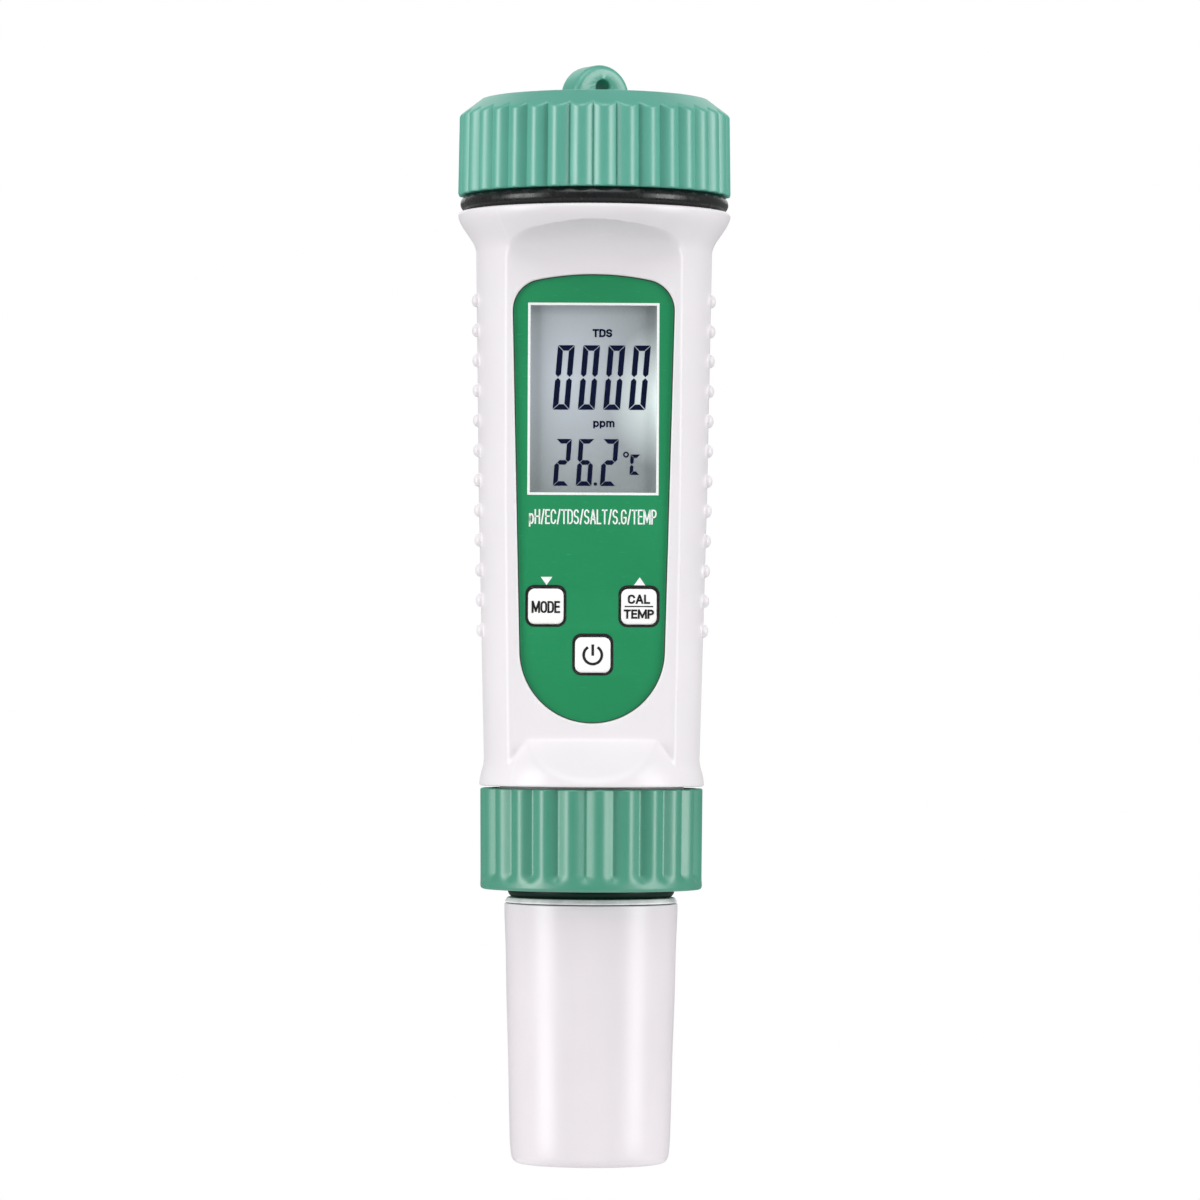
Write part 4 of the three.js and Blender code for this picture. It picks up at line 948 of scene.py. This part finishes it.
def key(name):
    """A crowned keycap on its flange and stem."""
    x, z = KEYS[name]

    def layer(size, height, corner=KEY_CORNER):
        return rounded_box(size, size, corner, x, z), height

    stem = [(rounded_box(2.6, 2.6, 1.3, x, z), -4.8), (rounded_box(2.6, 2.6, 1.3, x, z), -3.5)]
    flange = [layer(7.6, -3.5, 0.4), layer(7.6, -2.9, 0.4)]
    layers = [*flange, layer(KEY_SIZE, -2.88), layer(KEY_SIZE, KEY_EDGE)]
    for turn in np.linspace(0.2, 1, 5) * math.pi / 2:
        inset = 0.35 * (1 - math.cos(turn))
        layers.append(layer(KEY_SIZE - 2 * inset, KEY_EDGE + 0.38 * math.sin(turn), KEY_CORNER - inset / 2))
    for inset, height in ((0.9, -0.43), (1.6, -0.41), (2.3, KEY_FRONT), (2.7, KEY_FRONT)):
        layers.append(layer(KEY_SIZE - 2 * inset, height, KEY_CORNER * (1 - inset / 3)))
    return on_face(stacked([*stem, *layers]))


def key_legend(name):
    x, z = KEYS[name]
    low, high = KEY_FRONT - 0.1, KEY_FRONT + 0.012
    if name == "mode":
        return on_face(lettering("MODE", 4.6, 1.95, x, z - 0.1, 0.32, low, high))
    if name == "cal":
        line = rounded_box(4.6, 0.2, 0.05, x, z + 0.05)
        return on_face(
            joined(
                lettering("CAL", 3.6, 1.5, x, z + 1.22, 0.32, low, high),
                plate([line], low, high),
                lettering("TEMP", 4.9, 1.5, x, z - 1.19, 0.32, low, high),
            )
        )
    strokes = (arc(x, z, 1.47, 130, 410, steps=40), [(x, z + 0.1), (x, z + 1.5)])
    return on_face(joined(*[ribbon(points, 0.43, low, high) for points in strokes]))


def build_front():
    piece("label", label(), film, "housing", ["front_label"])
    piece("label_edge_shadow", label_edge_shadow(), painted_edge_shadow, "housing")
    piece("label_print", label_print(), white_ink, "housing")
    piece("key_frames", key_frames(), black_ink, "housing")
    opening = rounded_box(WINDOW_WIDTH - 0.1, WINDOW_HEIGHT - 0.1, 0.1, 0, WINDOW_Z)
    sheet = plate([opening], LABEL_BACK, LABEL_FRONT, 0.04)
    piece("window", on_face(sheet), window_sheet, "housing", ["display_window"])
    panel = plate([rounded_box(21.4, 31.2, 0.2, 0, WINDOW_Z)], -3.7, LCD_FRONT, 0.06)
    piece("display_panel", on_face(panel), display, "housing", ["lcd_front_glass"])
    piece("readout", readout(), display_ink, "housing")
    for name in KEYS:
        piece(f"{name}_keycap", key(name), key_plastic, f"{name}_button", [f"{name}_key"])
        piece(f"{name}_legend", key_legend(name), black_ink, f"{name}_button")


# ---- fluted cap and collar


def fluted_angles(flutes, steps):
    """Angles round a fluted wall, with so many steps to each flute."""
    count = flutes["count"] * steps
    return np.linspace(-math.pi, math.pi, count, endpoint=False) + math.radians(flutes["phase"])


def groove_depths(flutes, angles):
    """How deep a fluted wall is cut: nothing on the ridges, and its depth in the grooves."""
    share = (angles - math.radians(flutes["phase"])) * flutes["count"] / (2 * math.pi)
    from_ridge = np.abs(share - np.floor(share) - 0.5) * 2
    sharp = flutes["sharpness"]
    return flutes["depth"] * (sharp * from_ridge**3 + (1 - sharp) * (1 - np.cos(math.pi * from_ridge)) / 2)


def battery_cap():
    """A fluted wall under a chamfered shoulder, hollow for the neck. The grooves run out in the shoulder."""
    angles = fluted_angles(CAP_FLUTES, 14)
    grooves = groove_depths(CAP_FLUTES, angles)
    inner = NECK_RADIUS + THREAD_GAP
    hollow = [
        (0, CAP_TOP - WALL, 0),
        (16.7, CAP_TOP - WALL, 0.5),
        (inner, CAP_TOP - 2.8, 0.5),
        (inner, NECK_TOP + 1.2, 0.3),
        (CAP_BORE, NECK_TOP + 0.6, 0.3),
        (CAP_BORE, CAP_BOTTOM, 0),
    ]
    path = soften(hollow)
    edge = 0.3
    for turn in np.linspace(0, math.pi / 2, 5):
        radius = CAP_RADIUS - edge + edge * math.sin(turn)
        path.append((radius - grooves, CAP_BOTTOM + edge - edge * math.cos(turn)))
    rises = np.concatenate([np.linspace(0.6, 10.6, 12), np.arange(10.8, CAP_TOP - CAP_BOTTOM - 0.05, 0.13)])
    for rise in rises:
        wall = CAP_RADIUS - 0.015 * rise - grooves
        shoulder = CAP_RADIUS - 0.2 - SHOULDER_SLOPE * (rise - SHOULDER_START)
        path.append((blend_low(wall, np.full_like(wall, shoulder), 0.5), CAP_BOTTOM + rise))
    path += [(18.25, CAP_TOP - 0.02), (17.7, CAP_TOP), (0, CAP_TOP)]
    return skin(rings(path, angles))


def across_lug(shape):
    """Turns a shape made on the XZ plane to stand across the cap at the lug's angle."""
    points, faces = shape
    return np.asarray(points) @ np.array(Matrix.Rotation(LUG_TURN, 3, "Z")).T, faces


def lug_outline(inset):
    """A half round over straight sides that sink into the cap."""
    radius = LUG_RADIUS - inset
    points = arc(0, LUG_TOP - LUG_RADIUS, radius, 0, 180, steps=48)
    return [*points, (-radius, CAP_TOP - 0.6), (radius, CAP_TOP - 0.6)]


def lanyard_lug():
    layers = []
    for turn in np.linspace(0, math.pi / 2, 7):
        inset = LUG_EDGE * (1 - math.sin(turn))
        layers.append((lug_outline(inset), -LUG_HALF + LUG_EDGE * (1 - math.cos(turn))))
    return across_lug(stacked([*layers, *[(outline, -height) for outline, height in layers[::-1]]]))


def lug_hole():
    """A round hole with a softened mouth at each end."""
    reach, grow = 0.35, 0.25
    near_end = (LUG_HALF + 1, LUG_HALF, LUG_HALF - 0.12, LUG_HALF - reach)
    layers = []
    for height in (*[-place for place in near_end], *near_end[::-1]):
        near_mouth = min(max(0.0, (abs(height) - LUG_HALF + reach) / reach), 1)
        layers.append((arc(0, LUG_HOLE_Z, LUG_HOLE + grow * near_mouth**2, 0, 351, steps=39), height))
    return across_lug(stacked(layers))


def o_ring(inner, outer, bottom, top):
    """A ring of round section."""
    width, height = (outer - inner) / 2, (top - bottom) / 2
    section = arc((inner + outer) / 2, (bottom + top) / 2, width, 0, 345, height, 23)
    return turned(section, 128, closed=True)


def groove_ring(groove, wall):
    """An O-ring in a groove, a little proud of the wall round it."""
    low, high = groove["low"] + GROOVE_LIFT, groove["high"] - GROOVE_LIFT
    return o_ring(groove["radius"] + GROOVE_LIFT, wall + RING_SQUEEZE, low, high)


def build_cap_end():
    piece("cap", battery_cap(), cap_plastic, "cap", ["battery_cap"], crease=50)
    lug = piece("lanyard_lug", lanyard_lug(), cap_plastic, "cap", crease=50)
    carve(lug, lug_hole(), crease=50)
    start = CAP_THREAD_START + CAP_THREAD["pitch"] / 2
    ridge = thread(CAP_THREAD, CAP_BORE, CAP_BORE - THREAD_HEIGHT, start)
    piece("cap_thread", ridge, cap_plastic, "cap")
    boss = turned(soften([(1.3, 171.2, 0), (3, 171.2, 0.3), (3, 172.5, 0), (1.3, 172.5, 0)]), 40, closed=True)
    piece("cap_boss", boss, cap_plastic, "cap")
    ring = o_ring(CAP_BORE, 22.0, RIM_TOP + 0.05, CAP_BOTTOM - 0.05)
    piece("cap_ring", ring, black_rubber, "housing", ["cap_oring"])


def collar():
    """A fluted ring nut. Its grooves are open at the top and end in rounded bottoms above a plain rim."""
    angles = fluted_angles(COLLAR_FLUTES, 18)
    grooves = groove_depths(COLLAR_FLUTES, angles)
    inside = [
        (COLLAR_LIP_BORE, COLLAR_BOTTOM + 0.3, 0),
        (COLLAR_LIP_BORE, COLLAR_BOTTOM + COLLAR_LIP, 0.2),
        (COLLAR_BORE, COLLAR_BOTTOM + COLLAR_LIP, 0.2),
        (COLLAR_BORE, COLLAR_TOP, 0.3),
        (17.0, COLLAR_TOP, 0),
    ]
    path = soften(inside)
    top = COLLAR_RADIUS + COLLAR_TAPER - grooves
    path += [(top - 0.25, COLLAR_TOP), (top - 0.07, COLLAR_TOP - 0.07), (top, COLLAR_TOP - 0.25)]
    rises = np.concatenate([np.arange(16, 3.3, -0.9), np.arange(3.3, 0.6, -0.12)])
    for rise in rises:
        depth = smooth_step((rise - 0.85) / 2.1)
        radius = COLLAR_RADIUS + COLLAR_TAPER * rise / (COLLAR_TOP - COLLAR_BOTTOM)
        path.append((radius - grooves * depth, COLLAR_BOTTOM + rise))
    edge = 0.55
    for turn in np.linspace(0, math.pi / 2, 7):
        radius = COLLAR_RADIUS - edge + edge * math.cos(turn)
        path.append((radius, COLLAR_BOTTOM + edge - edge * math.sin(turn)))
    path += [(14.3, COLLAR_BOTTOM), (14.05, COLLAR_BOTTOM + 0.08)]
    return skin(rings(path, angles), closed=True)


def build_collar():
    piece("ring_nut", collar(), collar_plastic, "ring_nut", ["collar"], crease=50)
    start = COLLAR_THREAD_START + COLLAR_THREAD["pitch"] / 2
    ridge = thread(COLLAR_THREAD, COLLAR_BORE, COLLAR_BORE - THREAD_HEIGHT, start)
    piece("ring_nut_thread", ridge, collar_plastic, "ring_nut")


# ---- probe and storage cap


def groove_profile(groove, wall, setback):
    """The four corners of an O-ring's groove in a wall."""
    places = ((wall, "low"), (groove["radius"], "low"), (groove["radius"], "high"), (wall, "high"))
    return [(radius, groove[end], setback) for radius, end in places]


def probe_body():
    """The probe's body, from the boss that holds its electrodes to the plug inside the housing."""
    profile = [
        (0, BOSS_BOTTOM, 0),
        (BOSS_RADIUS, BOSS_BOTTOM, 0.4),
        (BOSS_RADIUS, 26, 0.3),
        (PROBE_RADIUS - 0.6, 26, 0.2),
        (PROBE_RADIUS, 26.6, 0.3),
        *groove_profile(CAP_GROOVE, PROBE_RADIUS, 0.2),
        (PROBE_RADIUS, SEAL_TOP + 0.1, 0),
        (13.15, SEAL_TOP + 0.1, 0.15),
        (13.65, SEAL_TOP + 0.75, 0.35),
        (13.65, 46.4, 0.1),
        (15.6, 46.4, 0.2),
        (15.6, 48.7, 0.2),
        (PROBE_NECK, 48.7, 0.2),
        *groove_profile(BORE_GROOVE, PROBE_NECK, 0.15),
        (PROBE_NECK, 59.4, 0.2),
        (PROBE_NECK - 0.6, 60, 0.2),
        (0, 60, 0),
    ]
    return turned(soften(profile), 128)


def probe_holes():
    """The bores for the electrode and the pins, and the slot for the plug-in board."""

    def bore(radius, top, sides, at=(0, 0)):
        return turned([(0, 21), (radius, 21), (radius, top), (0, top)], sides, at=at)

    pins = [bore(radius + 0.2, PIN_TOP + 0.3, 32, (x, y)) for x, y, radius, _ in PINS.values()]
    return joined(bore(3.3, 47.3, 48), *pins, bar(-5.3, 5.3, 0.55, 2.35, 55.7, 61, 0.02))


def glass_electrode():
    """A thin glass tube blown into a bulb at its lower end."""

    def wall(side):
        tube, bulb = TUBE[side], BULB[side]
        start = math.acos(tube / bulb)
        turns = np.linspace(-math.pi / 2, start - 0.25, 24)
        points = [(bulb * math.cos(t), BULB_Z + bulb * math.sin(t)) for t in turns]
        points[0] = (0, points[0][1])
        neck_z = BULB_Z + bulb * math.sin(start)
        return [*points, (tube + 0.05, neck_z + 0.5), (tube, neck_z + 1.1)]

    outside, inside = TUBE["outside"], TUBE["inside"]
    mouth = [(outside, 46.8), (outside - 0.15, 47), (inside + 0.15, 47), (inside, 46.8)]
    return turned([*wall("outside"), *mouth, *wall("inside")[::-1]], 64)


def electrode_guard():
    """An open cage of four legs between two rings, which keeps the glass bulb from being knocked."""
    shapes = []
    for inner, bottom, top in ((7.0, 8.4, 10.6), (8.0, 23.5, 25.7)):
        outside = [(GUARD_RADIUS, bottom, 0.5), (GUARD_RADIUS, top, 0.3)]
        seam = ((inner + GUARD_RADIUS) / 2, bottom, 0)
        profile = soften([seam, *outside, (inner, top, 0.3), (inner, bottom, 0.3), seam])
        shapes.append(turned(profile[:-1], 96, closed=True))
    for quarter in range(4):
        turn = np.array(Matrix.Rotation(math.radians(45 + 90 * quarter), 3, "Z"))
        points, faces = bar(8.15, 9.6, -2, 2, 9, 25, 0.3)
        shapes.append((points @ turn.T, faces))
    return joined(*shapes)


def probe_pin(x, y, radius, bottom):
    turns = np.linspace(0, math.pi / 2, 8)
    tip = [(radius * math.sin(t), bottom + radius * (1 - math.cos(t))) for t in turns]
    return turned([*tip, (radius, PIN_TOP), (0, PIN_TOP)], 32, at=(x, y))


def storage_cap():
    """A plain slightly tapered cup with a rounded foot and a rolled lip."""
    profile = [
        (0, 0.35, 0),
        (9.6, 0.35, 0.4),
        (10.2, 0, 0.4),
        (12.75, 0, 1.9),
        (13.1, 3.1, 1.2),
        (13.28, 9.5, 1),
        (13.45, 17.4, 1),
        (13.78, 27.2, 1),
        (13.94, 35.1, 1),
        (14.18, 41, 0.5),
        (14.18, CAP_RIM, 0.2),
        (12.85, CAP_RIM, 0.2),
        (12.65, 35.1, 1),
        (11.7, 3, 0.8),
        (10.8, 1.6, 0.8),
        (0, 1.6, 0),
    ]
    return turned(soften(profile, 8), 160)


def storage_sponge():
    """A damp disc of foam whose faces and edge aren't quite true."""
    angles = np.linspace(0, 2 * math.pi, 96, endpoint=False)
    path = []
    for radius, height in soften([(0, 1.95, 0), (10.3, 1.95, 0.5), (10.3, 5.3, 0.8), (0, 5.3, 0)], 4):
        uneven = 0.12 * np.sin(5 * angles + height) + 0.07 * np.sin(13 * angles + 2 * height)
        path.append((np.maximum(radius - 0.2 + uneven * (radius > 1), 0), height))
    return skin(rings(path, angles))


def build_probe_end():
    body = piece("probe", probe_body(), probe_plastic, "probe", ["probe_body"])
    carve(body, probe_holes())
    outer_edge = [(14.0, 42.6, 0.12), (14.12, 42.8, 0.1), (13.7, SEAL_TOP, 0.2)]
    seal = turned(soften([(12.6, 42.6, 0), *outer_edge, (12.6, SEAL_TOP, 0)]), 128, closed=True)
    piece("seal", seal, grey_silicone, "probe", ["seal_ring"])
    ring = groove_ring(BORE_GROOVE, PROBE_NECK)
    piece("bore_ring", ring, black_rubber, "probe", ["probe_bore_oring"])
    ring = groove_ring(CAP_GROOVE, PROBE_RADIUS)
    piece("spigot_ring", ring, black_rubber, "probe", ["probe_cap_oring"])
    piece("electrode_tube", glass_electrode(), glass, "probe", ["glass_electrode"])
    wire = [(0, 13), (0.3, 13.05), (0.4, 13.3), (0.4, 16.5), (0.25, 17), (0.25, 45), (0, 45)]
    piece("inner_wire", turned(wire, 16), nickel, "probe", ["electrode_wire"])
    for name, (x, y, radius, bottom) in PINS.items():
        junction = name == "reference_junction"
        material, finish = (ceramic, "white_ceramic") if junction else (steel, "steel")
        piece(f"{name}_tip", probe_pin(x, y, radius, bottom), material, "probe", [name])
    piece("guard", electrode_guard(), storage_plastic, "probe", ["electrode_guard"])
    piece("cup", storage_cap(), storage_plastic, "storage_cap", ["sensor_cap"])
    piece("foam", storage_sponge(), sponge, "storage_cap", ["storage_sponge"])


# ---- CAD nodes kept for what is inside

CELL_ENDS = ("cell_terminal", "cap_contact")
KEPT_NODES = {
    display: ["lcd_rear_glass"],
    guide_sheet: ["lcd_light_guide"],
    black_plastic: [
        *("lcd_bezel", "board_carrier", "controller_chip", "memory_chip"),
        *("battery_tray", "contact_disc", "probe_socket"),
    ],
    black_rubber: ["upper_contact_strip", "lower_contact_strip", "keypad_mat"],
    board: ["circuit_board", "probe_board"],
    steel: ["upper_board_screw", "lower_board_screw", "swivel_screw"],
    nickel: [f"button_cell_{number}" for number in range(1, 5)],
    gold: ["rear_cell_link", *[f"{side}_{end}" for side in ("left", "right") for end in CELL_ENDS]],
}
SWITCH_NODES = {black_plastic: "{}_switch", nickel: "{}_switch_plunger"}


def finish_kept_nodes():
    """Gives each CAD node that still shows its material, and chamfers its edges."""
    finished = [(name, material) for material, names in KEPT_NODES.items() for name in names]
    for key_name in KEYS:
        finished += [(pattern.format(key_name), material) for material, pattern in SWITCH_NODES.items()]
    for name, material in finished:
        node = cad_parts[name]
        node.data.materials.clear()
        node.data.materials.append(material)
        smooth(node.data, 30)
        bevel = node.modifiers.new("edges", "BEVEL")
        bevel.width, bevel.segments, bevel.limit_method = 0.12 * MM, 2, "ANGLE"


# ---- studio


def softbox(name, place, aim, size, radiance):
    """A rectangular lamp of that size in metres, whose face shines as brightly as radiance says."""
    data = bpy.data.lights.new(name, "AREA")
    data.shape, data.size, data.size_y = "RECTANGLE", *size
    data.energy = radiance * math.pi * size[0] * size[1]
    lamp = bpy.data.objects.new(name, data)
    lamp.location = place
    lamp.rotation_euler = (Vector(aim) - Vector(place)).to_track_quat("-Z", "Y").to_euler()
    bpy.context.scene.collection.objects.link(lamp)


def build_studio():
    scene = bpy.context.scene
    scene.view_settings.view_transform = "Standard"
    middle = (0, 0, 0.1)
    softbox("left_softbox", (-1.05, -0.5, 0.2), middle, (0.5, 1.0), 6.7)
    softbox("right_softbox", (1.05, -0.5, 0.2), middle, (0.5, 1.0), 6.3)
    softbox("top_softbox", (0, -0.5, 1.0), middle, (0.8, 0.6), 2.7)
    softbox("back_softbox", (0, 0.9, 0.6), middle, (1.2, 0.8), 1.0)

    world = bpy.data.worlds.new("studio")
    scene.world = world
    world.use_nodes = True
    tree = world.node_tree
    surround = tree.nodes["Background"]
    surround.inputs["Color"].default_value = (0.94, 0.95, 0.96, 1)
    surround.inputs["Strength"].default_value = 0.27
    backdrop = tree.nodes.new("ShaderNodeBackground")
    backdrop.inputs["Color"].default_value = (1, 1, 1, 1)
    path = tree.nodes.new("ShaderNodeLightPath")
    seen = tree.nodes.new("ShaderNodeMixShader")
    tree.links.new(path.outputs["Is Camera Ray"], seen.inputs["Fac"])
    tree.links.new(surround.outputs["Background"], seen.inputs[1])
    tree.links.new(backdrop.outputs["Background"], seen.inputs[2])
    tree.links.new(seen.outputs["Shader"], tree.nodes["World Output"].inputs["Surface"])

    bottom = FLOOR_TOP - FLOOR_THICKNESS
    disc = [(0, bottom), (FLOOR_RADIUS, bottom), (FLOOR_RADIUS, FLOOR_TOP), (0, FLOOR_TOP)]
    floor = mesh_object("floor", turned(disc, 96))
    surface = Nodes("floor")
    tone = surface.mix(surface.noise(60), (0.93, 0.93, 0.93, 1), (0.96, 0.96, 0.96, 1))
    surface.link(tone, surface.shader.inputs["Base Color"])
    surface.fixed(Roughness=0.9)
    floor.data.materials.append(surface.material)

    lens = bpy.data.cameras.new("camera")
    lens.lens, lens.sensor_width, lens.clip_start, lens.clip_end = 180, 36, 0.05, 20
    camera = bpy.data.objects.new("camera", lens)
    camera.location = [place * MM for place in CAMERA_PLACE]
    camera.rotation_euler = (math.radians(CAMERA_PITCH), math.radians(CAMERA_ROLL), 0)
    scene.collection.objects.link(camera)
    scene.camera = camera


build_housing()
build_front()
build_cap_end()
build_collar()
build_probe_end()
finish_kept_nodes()
build_studio()
